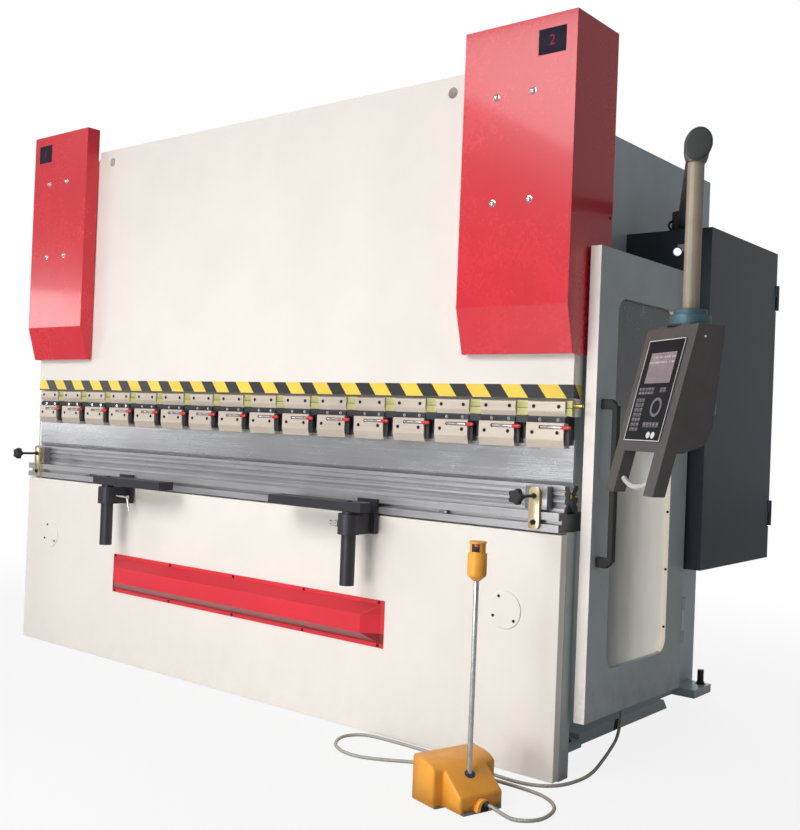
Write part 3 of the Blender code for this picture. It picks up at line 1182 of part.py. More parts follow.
def make_pendant():
    """The control pendant: collar, slanted housing with two legs, screen panel and grip."""
    tube = (ARM_TUBE_X, ARM_TUBE_Y, 0)
    collar = turned([(0, COLLAR_TOP), (COLLAR_SMALL_RADIUS, COLLAR_TOP), (COLLAR_SMALL_RADIUS, COLLAR_STEP),
                     (COLLAR_RADIUS, COLLAR_STEP), (COLLAR_RADIUS, COLLAR_FOOT), (0, COLLAR_FOOT)], tube, 32)
    keep(collar, "pendant_collar", TEAL)
    slope = math.tan(PENDANT_TILT)
    half = PENDANT_HALF
    front = -PENDANT_FRONT
    rear = front + PENDANT_DEPTH
    drop = PENDANT_LENGTH * math.cos(PENDANT_TILT)
    leg_drop = drop + PENDANT_LEG_LENGTH * math.cos(PENDANT_TILT)
    leg_top = drop - PENDANT_LEG_LAP
    side_view = [
        (front, 0), (front - slope * drop, -drop), (front - slope * drop + PENDANT_FOOT_DEPTH, -drop),
        (rear - 0.052, -drop * 0.93), (rear - 0.028, -drop * 0.80), (rear, -0.030), (rear, 0)]
    body = extruded(side_view, "X", -half, half)
    leg_view = [
        (front - slope * leg_top, -leg_top), (front - slope * leg_drop, -leg_drop),
        (front - slope * leg_drop + PENDANT_LEG_DEPTH, -leg_drop),
        (front - slope * leg_top + PENDANT_LEG_DEPTH, -leg_top)]
    legs = [extruded(leg_view, "X", *span(side, half - PENDANT_LEG_WIDTH, half)) for label, side in SIDES]
    cap = block((-PENDANT_CAP_HALF, front + PENDANT_CAP_MARGIN, -0.001),
                (PENDANT_CAP_HALF, rear - PENDANT_CAP_MARGIN, PENDANT_CAP_TOP - PENDANT_TOP))
    place = Matrix.Translation(tube) @ Matrix.Translation((0, 0, PENDANT_TOP))
    place = place @ Matrix.Rotation(PENDANT_YAW, 4, "Z")
    housing = join(body, cap, *legs)
    keep(moved(housing, place), "pendant_housing", HOUSING)
    tilted = place @ Matrix.Translation((0, front, 0)) @ Matrix.Rotation(-PENDANT_TILT, 4, "X")
    screen = block((-SCREEN_HALF, -SCREEN_THICK - SEAT, -SCREEN_TOP_MARGIN - SCREEN_HEIGHT),
                   (SCREEN_HALF, -SEAT, -SCREEN_TOP_MARGIN))
    keep(moved(screen, tilted), "pendant_screen", DARK)
    make_grip(tilted, half)


def make_grip(tilted, half):
    """The bowed grip bar between the pendant's legs."""
    lean = math.atan(2 * GRIP_BOW / (half - PENDANT_LEG_WIDTH))
    reach = half - PENDANT_LEG_WIDTH - SEAT - GRIP_RADIUS * math.sin(lean)
    height = -PENDANT_LENGTH - GRIP_DROP
    depth = PENDANT_LEG_DEPTH / 2
    line = bpy.data.curves.new("grip", "CURVE")
    line.dimensions = "3D"
    line.bevel_depth = GRIP_RADIUS
    line.bevel_resolution = 2
    line.use_fill_caps = True
    spline = line.splines.new("POLY")
    steps = 10
    spline.points.add(steps)
    for index, point in enumerate(spline.points):
        share = 2 * index / steps - 1
        point.co = (reach * share, depth, height - GRIP_BOW * (1 - share * share), 1.0)
    guide = bpy.data.objects.new("grip", line)
    keep(moved(meshed(guide), tilted), "pendant_grip", BRIGHT)


def pedal_frame():
    """The pedal's own frame: +X from its cable end towards the mouth, on the floor."""
    return Matrix.Translation((*PEDAL_END, 0)) @ Matrix.Rotation(PEDAL_YAW, 4, "Z")


def pedal_slope(along):
    """Height of the pedal hood's outside at a distance from its cable end."""
    rise = (PEDAL_HEIGHT - PEDAL_END_HEIGHT) / PEDAL_NARROW_LENGTH
    return min(PEDAL_HEIGHT, PEDAL_END_HEIGHT + rise * along)


def hood_solid(shrink, foot):
    """The hood's outer form, or its hollow when shrunk: a narrow sloping end and a wide mouth."""
    mouth = PEDAL_LENGTH + (0.1 if shrink else 0)
    lift = pedal_slope(shrink) if shrink else PEDAL_END_HEIGHT
    narrow = [(shrink, foot), (PEDAL_NARROW_LENGTH + PEDAL_LAP, foot),
              (PEDAL_NARROW_LENGTH + PEDAL_LAP, PEDAL_HEIGHT - shrink),
              (PEDAL_NARROW_LENGTH, PEDAL_HEIGHT - shrink), (shrink, lift - shrink)]
    end = extruded(narrow, "Y", -PEDAL_NARROW_HALF + shrink, PEDAL_NARROW_HALF - shrink)
    wide = rectangle((PEDAL_NARROW_LENGTH + shrink, foot), (mouth, PEDAL_HEIGHT - shrink))
    hall = extruded(wide, "Y", -PEDAL_WIDE_HALF + shrink, PEDAL_WIDE_HALF - shrink)
    return join(end, hall)


def make_pedal():
    """The foot pedal: base plate, hood, treadle, and the stop post with its head."""
    frame = pedal_frame()
    narrow, wide = PEDAL_NARROW_HALF - PEDAL_BASE_INSET, PEDAL_WIDE_HALF - PEDAL_BASE_INSET
    base = extruded([
        (-PEDAL_BASE_LIP, -narrow), (PEDAL_NARROW_LENGTH, -narrow), (PEDAL_NARROW_LENGTH, -wide),
        (PEDAL_LENGTH, -wide), (PEDAL_LENGTH, wide), (PEDAL_NARROW_LENGTH, wide),
        (PEDAL_NARROW_LENGTH, narrow), (-PEDAL_BASE_LIP, narrow)], "Z", 0, PEDAL_BASE_THICK)
    keep(moved(base, frame), "pedal_base", STEEL)
    arch = bar_between((-OUTLET_REACH, OUTLET_OFFSET, OUTLET_HEIGHT),
                       (OUTLET_LAP, OUTLET_OFFSET, OUTLET_HEIGHT), OUTLET_RADIUS, 24)
    hood = join(hood_solid(0, PEDAL_FLOOR), arch)
    post_hole = bar_between((STOP_POST_AT, 0, 0), (STOP_POST_AT, 0, 2 * PEDAL_HEIGHT),
                            GROMMET_RADIUS + SEAT, 24)
    hood = cut(hood, hood_solid(PEDAL_SHELL, 0), post_hole)
    keep(moved(hood, frame), "pedal_hood", ORANGE)
    top = pedal_slope(STOP_POST_AT)
    grommet = bar_between((STOP_POST_AT, 0, PEDAL_FLOOR), (STOP_POST_AT, 0, top + GROMMET_RISE),
                          GROMMET_RADIUS, 24)
    post = bar_between((STOP_POST_AT, 0, top), (STOP_POST_AT, 0, STOP_POST_TOP), STOP_POST_RADIUS, 20)
    keep(moved(join(post, grommet), frame), "stop_post", BRIGHT)
    make_treadle(frame)
    make_stop_head(frame)


def make_treadle(frame):
    """The treadle plate on its two side lugs inside the hood."""
    start = PEDAL_NARROW_LENGTH + TREADLE_GAP
    end = start + TREADLE_LENGTH
    low = TREADLE_HEIGHT - TREADLE_SLOPE
    plate = extruded([(start, low), (end, TREADLE_HEIGHT), (end, TREADLE_HEIGHT + TREADLE_THICK),
                      (start, low + TREADLE_THICK)], "Y", -TREADLE_HALF, TREADLE_HALF)
    near, far, thick = TREADLE_LUG
    lugs = [block((start + near, edge, PEDAL_FLOOR), (start + far, edge + thick, TREADLE_HEIGHT))
            for edge in (-TREADLE_HALF, TREADLE_HALF - thick)]
    keep(moved(join(plate, *lugs), frame), "pedal_treadle", RUBBER)


def make_stop_head(frame):
    """The stop head on the post: a flared round body under a narrower crown."""
    wide, neck = STOP_HEAD_RADIUS, STOP_HEAD_NECK
    foot = STOP_POST_TOP + SEAT
    head = turned([(0, STOP_HEAD_TOP), (neck + 0.001, STOP_HEAD_TOP), (neck + 0.001, STOP_HEAD_TOP - 0.004),
                   (neck, STOP_HEAD_TOP - 0.006), (neck, STOP_HEAD_TOP - 0.032),
                   (wide, STOP_HEAD_TOP - 0.040),
                   (wide, foot + 0.030), (STOP_HEAD_FOOT, foot), (0, foot)], (STOP_POST_AT, 0, 0), 16)
    keep(moved(head, frame), "stop_head", ORANGE)


def make_hose():
    """The hose from the pedal along the floor into the machine's side, and its gland."""
    line = smooth_line(HOSE_ROUTE, HOSE_SPACING)
    curve = bpy.data.curves.new("hose", "CURVE")
    curve.dimensions = "3D"
    curve.bevel_depth = HOSE_RADIUS
    curve.bevel_resolution = 2
    curve.use_fill_caps = True
    spline = curve.splines.new("POLY")
    spline.points.add(len(line) - 1)
    for point, place in zip(spline.points, line):
        point.co = (*place, 1.0)
    hose = bpy.data.objects.new("pedal_hose", curve)
    hose.data.materials.append(STEEL)
    machine.objects.link(hose)
    end = Vector(HOSE_ROUTE[-1])
    face = FRAME_OUTER + SEAT
    gland = bar_between((face, end.y, end.z), (face + GLAND_LENGTH, end.y, end.z), GLAND_RADIUS, 6)
    keep(gland, "hose_gland", BRIGHT)


def smooth_line(route, spacing):
    """Points at even steps along a smooth curve through a route."""
    places = [Vector(place) for place in route]
    ends = [2 * places[0] - places[1]] + places + [2 * places[-1] - places[-2]]
    fine = []
    for first, start, stop, last in zip(ends, ends[1:], ends[2:], ends[3:]):
        for step in range(20):
            share = step / 20
            fine.append(0.5 * (2 * start + (stop - first) * share
                               + (2 * first - 5 * start + 4 * stop - last) * share ** 2
                               + (3 * start - first - 3 * stop + last) * share ** 3))
    fine.append(places[-1])
    lengths = [0.0]
    for start, stop in zip(fine, fine[1:]):
        lengths.append(lengths[-1] + (stop - start).length)
    count = max(2, round(lengths[-1] / spacing))
    line = []
    index = 0
    for step in range(count + 1):
        target = lengths[-1] * step / count
        while index < len(fine) - 2 and lengths[index + 1] < target:
            index += 1
        share = (target - lengths[index]) / (lengths[index + 1] - lengths[index])
        line.append(fine[index].lerp(fine[index + 1], share))
    return line


make_bed()
make_tooling()
make_clamps()
make_ram()
make_cylinders()
make_covers()
make_side_frames()
make_rear()
make_end_clamps()
make_supports()
make_doors()
make_cabinet()
make_arm()
make_pendant()
make_pedal()
make_hose()
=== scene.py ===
"""Looks of a hydraulic sheet bending machine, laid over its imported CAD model."""
import json
import logging
import math
from dataclasses import dataclass
from enum import Enum
from typing import Iterable, Optional, Sequence, Union

import bmesh
import bpy
from mathutils import Matrix, Vector

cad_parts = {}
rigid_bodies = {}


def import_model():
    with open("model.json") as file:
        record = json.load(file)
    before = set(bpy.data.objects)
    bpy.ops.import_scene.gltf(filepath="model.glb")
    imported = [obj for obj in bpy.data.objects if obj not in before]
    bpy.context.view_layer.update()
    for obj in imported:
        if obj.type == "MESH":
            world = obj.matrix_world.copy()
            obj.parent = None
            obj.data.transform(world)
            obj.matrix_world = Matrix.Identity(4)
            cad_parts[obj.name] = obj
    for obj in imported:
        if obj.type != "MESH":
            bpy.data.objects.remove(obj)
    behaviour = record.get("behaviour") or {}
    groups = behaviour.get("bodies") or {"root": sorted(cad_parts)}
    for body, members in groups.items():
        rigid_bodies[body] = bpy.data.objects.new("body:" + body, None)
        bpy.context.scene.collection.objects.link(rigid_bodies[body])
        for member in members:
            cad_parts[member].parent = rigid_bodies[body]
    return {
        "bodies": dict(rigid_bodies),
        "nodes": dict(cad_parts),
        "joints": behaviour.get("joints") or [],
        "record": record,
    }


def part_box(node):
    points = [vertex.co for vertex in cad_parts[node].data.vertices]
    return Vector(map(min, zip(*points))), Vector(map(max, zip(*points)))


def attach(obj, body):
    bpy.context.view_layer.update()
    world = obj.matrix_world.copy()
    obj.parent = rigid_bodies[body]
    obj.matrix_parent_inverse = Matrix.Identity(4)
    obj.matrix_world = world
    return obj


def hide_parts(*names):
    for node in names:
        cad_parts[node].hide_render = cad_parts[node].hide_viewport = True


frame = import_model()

LOG = logging.getLogger("bending_machine")
Colour = tuple[float, float, float]
Point = Union[Sequence[float], Vector]
SIDES = (("left", -1), ("right", 1))
FRONT = (0, -1, 0)
RIGHT = (1, 0, 0)
UP = (0, 0, 1)
FILM_GAP = 0.00005


def tint(red: int, green: int, blue: int) -> Colour:
    """Turn a screen colour into the linear colour that Blender works with.

    Args:
        red: Red part, 0 to 255.
        green: Green part, 0 to 255.
        blue: Blue part, 0 to 255.

    Returns:
        The linear colour.
    """
    parts = []
    for part in (red, green, blue):
        share = part / 255
        parts.append(share / 12.92 if share <= 0.04045 else ((share + 0.055) / 1.055) ** 2.4)
    return (parts[0], parts[1], parts[2])


class Sock:
    """A node's output that takes part in Python expressions."""

    def __init__(self, graph: "Graph", end: bpy.types.NodeSocket) -> None:
        """Wrap one output socket of a graph."""
        self.graph = graph
        self.end = end

    def maths(self, operation: str, *values: Union["Sock", float]) -> "Sock":
        """Add one Math node.

        Args:
            operation: Blender's name of the operation.
            values: The numbers or sockets that it works on.

        Returns:
            The node's result.
        """
        return self.graph.node("ShaderNodeMath", {"operation": operation}, dict(enumerate(values)))

    def __add__(self, other: Union["Sock", float]) -> "Sock":
        """Add."""
        return self.maths("ADD", self, other)

    def __radd__(self, other: float) -> "Sock":
        """Add, from the right."""
        return self.maths("ADD", other, self)

    def __sub__(self, other: Union["Sock", float]) -> "Sock":
        """Subtract."""
        return self.maths("SUBTRACT", self, other)

    def __rsub__(self, other: float) -> "Sock":
        """Subtract, from the right."""
        return self.maths("SUBTRACT", other, self)

    def __mul__(self, other: Union["Sock", float]) -> "Sock":
        """Multiply."""
        return self.maths("MULTIPLY", self, other)

    def __rmul__(self, other: float) -> "Sock":
        """Multiply, from the right."""
        return self.maths("MULTIPLY", other, self)

    def __truediv__(self, other: Union["Sock", float]) -> "Sock":
        """Divide."""
        return self.maths("DIVIDE", self, other)

    def __lt__(self, other: Union["Sock", float]) -> "Sock":
        """One where the value is below the other, zero elsewhere."""
        return self.maths("LESS_THAN", self, other)

    def __gt__(self, other: Union["Sock", float]) -> "Sock":
        """One where the value is above the other, zero elsewhere."""
        return self.maths("GREATER_THAN", self, other)

    def __mod__(self, other: float) -> "Sock":
        """Remainder, never negative."""
        return self.maths("FLOORED_MODULO", self, other)

    def sine(self) -> "Sock":
        """Sine of the value."""
        return self.maths("SINE", self)

    def size(self) -> "Sock":
        """The value without its sign."""
        return self.maths("ABSOLUTE", self)

    def ramp(self, low: float, high: float, start: float = 0.0, stop: float = 1.0) -> "Sock":
        """Map a stretch of the value smoothly onto another.

        Args:
            low: Value where the stretch starts.
            high: Value where it ends.
            start: Result at the start.
            stop: Result at the end.

        Returns:
            The mapped value.
        """
        return self.graph.node("ShaderNodeMapRange", {"interpolation_type": "SMOOTHSTEP"},
                               {0: self, 1: low, 2: high, 3: start, 4: stop})


Feed = Union[Sock, float, Colour, Sequence[float]]


class Graph:
    """The nodes of one material, or of the world."""

    def __init__(self, name: str, world: Optional[bpy.types.World] = None) -> None:
        """Start with no nodes.

        Args:
            name: Name of the new material.
            world: The world whose nodes these are, in place of a material's.
        """
        self.material = bpy.data.materials.new(name) if world is None else world
        self.material.use_nodes = True
        self.tree = self.material.node_tree
        self.tree.nodes.clear()

    def node(self, kind: str, settings: Optional[dict] = None, inputs: Optional[dict] = None,
             output: Union[int, str] = 0) -> Sock:
        """Add a node.

        Args:
            kind: Blender's type name of the node.
            settings: Its settings, set first. "stops" fills a colour ramp.
            inputs: Values or links of its sockets, by index or name.
            output: Which output to hand back.

        Returns:
            The chosen output.
        """
        made = self.tree.nodes.new(kind)
        for key, value in (settings or {}).items():
            if key == "stops":
                elements = made.color_ramp.elements
                while len(elements) < len(value):
                    elements.new(0.5)
                for element, (place, colour) in zip(elements, value):
                    element.position = place
                    element.color = (*colour, 1.0)
            else:
                setattr(made, key, value)
        for key, value in (inputs or {}).items():
            self.feed(made.inputs[key], value)
        return Sock(self, made.outputs[output])

    def feed(self, socket: bpy.types.NodeSocket, value: Feed) -> None:
        """Link a socket to a value, or set its own number or colour.

        Args:
            socket: The input.
            value: What it gets.
        """
        if isinstance(value, Sock):
            self.tree.links.new(value.end, socket)
        elif isinstance(value, (int, float)):
            socket.default_value = value
        else:
            room = len(socket.default_value)
            socket.default_value = (*value, 1.0)[:room] if len(value) < room else tuple(value)

    def place(self) -> Sock:
        """The point on the object, in metres."""
        return self.node("ShaderNodeTexCoord", output="Object")

    def split(self, vector: Sock) -> tuple[Sock, Sock, Sock]:
        """The three parts of a vector.

        Args:
            vector: The vector.

        Returns:
            Its parts.
        """
        first = self.node("ShaderNodeSeparateXYZ", {}, {0: vector})
        ends = first.end.node.outputs
        return first, Sock(self, ends[1]), Sock(self, ends[2])

    def stretch(self, vector: Sock, scale: Sequence[float]) -> Sock:
        """A vector with each part multiplied."""
        return self.node("ShaderNodeVectorMath", {"operation": "MULTIPLY"}, {0: vector, 1: scale})

    def noise(self, vector: Sock, scale: float, detail: float = 2.0, rough: float = 0.5) -> Sock:
        """Smooth noise from 0 to 1.

        Args:
            vector: Where it is read.
            scale: Waves per metre.
            detail: Number of finer layers.
            rough: Share of the finer layers.

        Returns:
            The noise value.
        """
        return self.node("ShaderNodeTexNoise", {}, {"Vector": vector, "Scale": scale, "Detail": detail,
                                                    "Roughness": rough})

    def cells(self, vector: Sock, scale: float) -> Sock:
        """Distance to the nearest of many scattered points."""
        return self.node("ShaderNodeTexVoronoi", {}, {"Vector": vector, "Scale": scale})

    def mix(self, share: Union[Sock, float], first: Feed, second: Feed) -> Sock:
        """Mix two colours.

        Args:
            share: Share of the second.
            first: Colour at 0.
            second: Colour at 1.

        Returns:
            The mixed colour.
        """
        made = self.tree.nodes.new("ShaderNodeMix")
        made.data_type = "RGBA"
        self.feed(made.inputs[0], share)
        self.feed(made.inputs[6], first)
        self.feed(made.inputs[7], second)
        return Sock(self, made.outputs[2])

    def bump(self, height: Sock, depth: float, under: Optional[Sock] = None) -> Sock:
        """Bend the surface's normal by a height.

        Args:
            height: Height from 0 to 1.
            depth: Metres from 0 to 1.
            under: Another bump below this one.

        Returns:
            The bent normal.
        """
        inputs = {"Height": height, "Distance": depth, "Strength": 1.0}
        if under is not None:
            inputs["Normal"] = under
        return self.node("ShaderNodeBump", {}, inputs)

    def surface(self, **inputs: Feed) -> bpy.types.Material:
        """Close the material with one Principled shader.

        Args:
            inputs: Socket values, with underscores for the blanks in their names.

        Returns:
            The material.
        """
        named = {key.replace("_", " "): value for key, value in inputs.items()}
        shader = self.node("ShaderNodeBsdfPrincipled", {}, named)
        return self.close(shader)

    def close(self, shader: Sock, kind: str = "ShaderNodeOutputMaterial") -> bpy.types.Material:
        """Link a shader to the output.

        Args:
            shader: The shader.
            kind: Blender's type name of the output node.

        Returns:
            What the nodes belong to.
        """
        end = self.tree.nodes.new(kind)
        self.feed(end.inputs[0], shader)
        return self.material


@dataclass(frozen=True)
class Paint:
    """Sprayed paint: orange peel, faint clouds, specks and floor grime, and bands of painted shade if any."""

    name: str
    colour: Colour
    rough: float = 0.35
    coat: float = 0.0
    peel: float = 0.00006
    cloud: float = 0.06
    grime: float = 0.35
    # bands: (low, high, share), heights between which the colour is darkened by a share, as painted shade
    bands: tuple[tuple[float, float, float], ...] = ()

    def make(self) -> bpy.types.Material:
        """Build the material.

        Returns:
            The material.
        """
        graph = Graph(self.name)
        place = graph.place()
        _, _, up = graph.split(place)
        cloud = graph.noise(place, 2.2, 5, 0.6)
        fine = graph.noise(place, 90, 3)
        shade = tuple(part * (1 - 2.4 * self.cloud) for part in self.colour)
        light = tuple(min(1.0, part * (1 + self.cloud)) for part in self.colour)
        colour = graph.mix(cloud.ramp(0.32, 0.68), shade, light)
        specks = graph.noise(place, 420, 2).ramp(0.70, 0.78) * 0.25
        colour = graph.mix(specks, colour, tuple(part * 0.6 for part in self.colour))
        # Painted shade: each band between two heights is darkened by its share.
        for low, high, share in self.bands:
            painted_shade_and_light_mask = (up > low) * (up < high)
            colour = graph.mix(painted_shade_and_light_mask, colour, tuple(part * share for part in self.colour))
        dirt = up.ramp(0.30, 0.0) * graph.noise(place, 14, 5, 0.7).ramp(0.35, 0.75) * self.grime
        colour = graph.mix(dirt, colour, (0.16, 0.14, 0.12))
        rough = self.rough + (cloud - 0.5) * 0.14 + dirt * 0.25 + (fine - 0.5) * 0.06
        normal = graph.bump(graph.noise(place, 330, 2), self.peel)
        inputs = {"Base_Color": colour, "Roughness": rough, "Normal": normal}
        if self.coat:
            inputs.update({"Coat_Weight": self.coat, "Coat_Roughness": 0.06})
        return graph.surface(**inputs)


@dataclass(frozen=True)
class PaintedShadeDoorPaint(Paint):
    """Door paint, one white paint with painted light and shade: the base colour is that paint shaded bluish
    grey, the front edge before a given Y keeps the lit white, and the cut-out's walls get a lit cream and a
    faint painted glow.
    """

    # edge: the lit white that the front edge keeps, while the base colour is that white shaded: painted shade
    edge: Colour = (0.8, 0.8, 0.8)
    border: float = 0.0205
    # walls: the lit cream of the cut-out's walls, painted light
    walls: Colour = (0.8, 0.7, 0.6)
    sheet: tuple[float, float] = (1.6215, 1.6592)
    opening: tuple[float, float] = (0.60, 0.70)

    def make(self) -> bpy.types.Material:
        """Build the material.

        Returns:
            The material.
        """
        graph = Graph(self.name)
        place = graph.place()
        across, back, up = graph.split(place)
        cloud = graph.noise(place, 2.6, 5, 0.6)
        shade = tuple(part * (1 - 2.4 * self.cloud) for part in self.colour)
        colour = graph.mix(cloud.ramp(0.32, 0.68), shade, self.colour)
        smear = graph.noise(graph.stretch(place, (1, 2.5, 0.7)), 6, 5, 0.7).ramp(0.55, 0.8) * 0.16
        colour = graph.mix(smear, colour, tuple(min(1.0, part * 1.3) for part in self.colour))
        # Painted shade: the sides keep the darker base colour, the front edge gets the lit white.
        colour = graph.mix(back < self.border, colour, self.edge)
        deep = (across.size() > self.sheet[0]) * (across.size() < self.sheet[1])
        painted_shade_and_light_mask = deep * (back > self.opening[0]) * (back < self.opening[1])
        # Painted light: the cut-out's walls get the lit cream.
        colour = graph.mix(painted_shade_and_light_mask, colour, self.walls)
        dirt = up.ramp(0.45, 0.15) * graph.noise(place, 14, 5, 0.7).ramp(0.35, 0.75) * self.grime
        colour = graph.mix(dirt, colour, (0.16, 0.14, 0.12))
        rough = self.rough + (cloud - 0.5) * 0.2
        normal = graph.bump(graph.noise(place, 330, 2), self.peel)
        # Painted glow on the cut-out's walls, though they are no lamp.
        glow = graph.mix(painted_shade_and_light_mask, (0.0, 0.0, 0.0), self.walls)
        return graph.surface(Base_Color=colour, Roughness=rough, Normal=normal, Emission_Color=glow,
                             Emission_Strength=0.32)


class Grain(Enum):
    """Direction of a ground or drawn metal's fine lines."""

    ALONG_X = (2.0, 240.0, 240.0)
    ALONG_Y = (240.0, 2.0, 240.0)
    ALONG_Z = (240.0, 240.0, 2.0)
    NONE = (60.0, 60.0, 60.0)


@dataclass(frozen=True)
class Steel:
    """Bare metal with fine lines, smudges, faint stains and tiny scratches."""

    name: str
    colour: Colour
    grain: Grain = Grain.ALONG_X
    rough: float = 0.35
    metallic: float = 0.9
    depth: float = 0.00004
    stain: float = 0.30
    stain_colour: Colour = (0.10, 0.085, 0.07)
    streak: float = 0.66
    # end: X past which the end faces get painted shade; 0 for none
    end: float = 0.0

    def make(self) -> bpy.types.Material:
        """Build the material. Past the end, measured along X, the metal is painted dark and not metallic:
        painted shade on the end faces.

        Returns:
            The material.
        """
        graph = Graph(self.name)
        place = graph.place()
        lines = graph.noise(graph.stretch(place, self.grain.value), 1.0, 4, 0.65)
        cloud = graph.noise(graph.stretch(place, (0.8, 1.4, 2.2)), 3.2, 5, 0.6)
        spots = graph.noise(place, 26, 5, 0.7).ramp(0.60, 0.80)
        dark = tuple(part * self.streak for part in self.colour)
        colour = graph.mix(lines.ramp(0.25, 0.75), dark, self.colour)
        colour = graph.mix(cloud.ramp(0.35, 0.70) * 0.35, colour,
                           tuple(min(1.0, part * 1.25) for part in self.colour))
        colour = graph.mix(spots * self.stain, colour, self.stain_colour)
        rough = self.rough + (lines - 0.5) * 0.20 + spots * 0.18 + (cloud - 0.5) * 0.14
        metallic: Feed = self.metallic
        # Painted shade: dark colour that is not metallic on the end faces past X.
        if self.end:
            across, _, _ = graph.split(place)
            past = across.size() > self.end
            colour = graph.mix(past, colour, tuple(0.22 * part for part in self.colour))
            metallic = self.metallic - past * self.metallic
        normal = graph.bump(lines, self.depth)
        return graph.surface(Base_Color=colour, Roughness=rough, Metallic=metallic, Normal=normal)


@dataclass(frozen=True)
class Zinc:
    """Yellow passivated zinc, with its faint green and rose bloom."""

    name: str
    colour: Colour

    def make(self) -> bpy.types.Material:
        """Build the material.

        Returns:
            The material.
        """
        graph = Graph(self.name)
        place = graph.place()
        bloom = graph.noise(place, 34, 4, 0.6)
        colour = graph.node("ShaderNodeValToRGB", {"stops": [
            (0.30, tuple(part * 0.75 for part in self.colour)), (0.50, self.colour),
            (0.64, (self.colour[0] * 1.05, self.colour[1] * 0.88, self.colour[2] * 1.1)),
            (0.75, (self.colour[0] * 0.72, self.colour[1] * 0.9, self.colour[2] * 0.95))]}, {0: bloom})
        wear = graph.noise(place, 150, 3).ramp(0.62, 0.72) * 0.4
        colour = graph.mix(wear, colour, (0.52, 0.52, 0.50))
        rough = 0.30 + (bloom - 0.5) * 0.25
        normal = graph.bump(graph.noise(place, 500, 2), 0.00003)
        return graph.surface(Base_Color=colour, Roughness=rough, Metallic=0.75, Normal=normal)


@dataclass(frozen=True)
class Moulded:
    """Moulded plastic or rubber with a fine spark-eroded grain and light scuffs."""

    name: str
    colour: Colour
    rough: float = 0.45
    grain: float = 0.00005
    scuff: float = 0.2
    coat: float = 0.0

    def make(self) -> bpy.types.Material:
        """Build the material.

        Returns:
            The material.
        """
        graph = Graph(self.name)
        place = graph.place()
        cloud = graph.noise(place, 11, 4, 0.6)
        scuffs = graph.noise(graph.stretch(place, (1.0, 3.0, 9.0)), 21, 5, 0.75).ramp(0.64, 0.74)
        colour = graph.mix(cloud.ramp(0.3, 0.7), tuple(part * 0.86 for part in self.colour), self.colour)
        worn = tuple(min(1.0, part * 1.25 + 0.03) for part in self.colour)
        colour = graph.mix(scuffs * self.scuff, colour, worn)
        rough = self.rough + (cloud - 0.5) * 0.12 + scuffs * 0.15
        normal = graph.bump(graph.cells(place, 900), self.grain)
        inputs = {"Base_Color": colour, "Roughness": rough, "Normal": normal}
        if self.coat:
            inputs.update({"Coat_Weight": self.coat, "Coat_Roughness": 0.15})
        return graph.surface(**inputs)


@dataclass(frozen=True)
class HazardTape:
    """Slanted yellow and black bands, printed on a slightly worn film."""

    name: str
    yellow: Colour
    black: Colour
    pitch: float = 0.1543
    first: float = -1.5762
    share: float = 0.475
    slant: float = 0.77
    top: float = 1.344

    def make(self) -> bpy.types.Material:
        """Build the material.

        Returns:
            The material.
        """
        graph = Graph(self.name)
        place = graph.place()
        along, back, up = graph.split(place)
        line = along + back * 1.0 + up * self.slant - (self.first + self.slant * self.top)
        band = ((line / self.pitch) % 1.0) < self.share
        worn = graph.noise(graph.stretch(place, (1.0, 1.0, 4.0)), 60, 4, 0.7).ramp(0.63, 0.75) * 0.35
        black = graph.mix(worn, self.black, (0.16, 0.16, 0.16))
        cloud = graph.noise(place, 5, 3).ramp(0.35, 0.65)
        yellow = graph.mix(cloud, self.yellow, tuple(part * 0.88 for part in self.yellow))
        colour = graph.mix(band, yellow, black)
        rough = 0.38 + worn * 0.3
        normal = graph.bump(graph.noise(place, 160, 2), 0.00005)
        return graph.surface(Base_Color=colour, Roughness=rough, Normal=normal)


@dataclass(frozen=True)
class ClearSheet:
    """Frosted sheet whose colour stands for the lit interior seen through it: paler and warmer towards the
    back as painted light, with a painted glow, and dark grey with wipe marks at its top.
    """

    name: str
    # front, back: frost colours, the back one paler and warmer as painted light of the lit interior; top: the
    # grey at its top
    front: Colour
    back: Colour
    top: Colour
    haze: float = 0.93
    # light: strength of the painted glow of the lit interior
    light: float = 0.62

    def make(self) -> bpy.types.Material:
        """Build the material.

        Returns:
            The material.
        """
        graph = Graph(self.name)
        place = graph.place()
        _, deep, up = graph.split(place)
        wipe = graph.noise(graph.stretch(place, (1.0, 4.0, 1.5)), 5, 5, 0.7)
        cloud = graph.noise(graph.stretch(place, (1.0, 2.0, 0.6)), 4, 3)
        # Painted light: paler and warmer towards the back, where the lit interior shows through.
        share = (deep + (cloud - 0.5) * 0.16).ramp(0.14, 0.60)
        frost_and_painted_light = graph.mix(share, self.front, self.back)
        # Greyer towards the top, where the painted light stops.
        high = (up + (cloud - 0.5) * 0.2).ramp(1.02, 1.36)
        flecks = graph.cells(place, 60).ramp(0.20, 0.06) * up.ramp(1.46, 1.62) * 0.8
        smears = wipe.ramp(0.56, 0.74) * up.ramp(1.36, 1.55) * 0.45
        colour = graph.mix(high, frost_and_painted_light, self.top)
        colour = graph.mix(flecks + smears, colour, (0.66, 0.68, 0.66))
        # Painted glow of the lit interior, though the sheet is no lamp.
        lit = graph.mix(high, graph.mix(share, (0.03, 0.03, 0.03), self.back), (0.0, 0.0, 0.0))
        rough = 0.16 + wipe.ramp(0.5, 0.8) * 0.14
        return graph.surface(Base_Color=colour, Roughness=rough, Alpha=self.haze + (wipe - 0.5) * 0.05,
                             Emission_Color=lit, Emission_Strength=self.light)


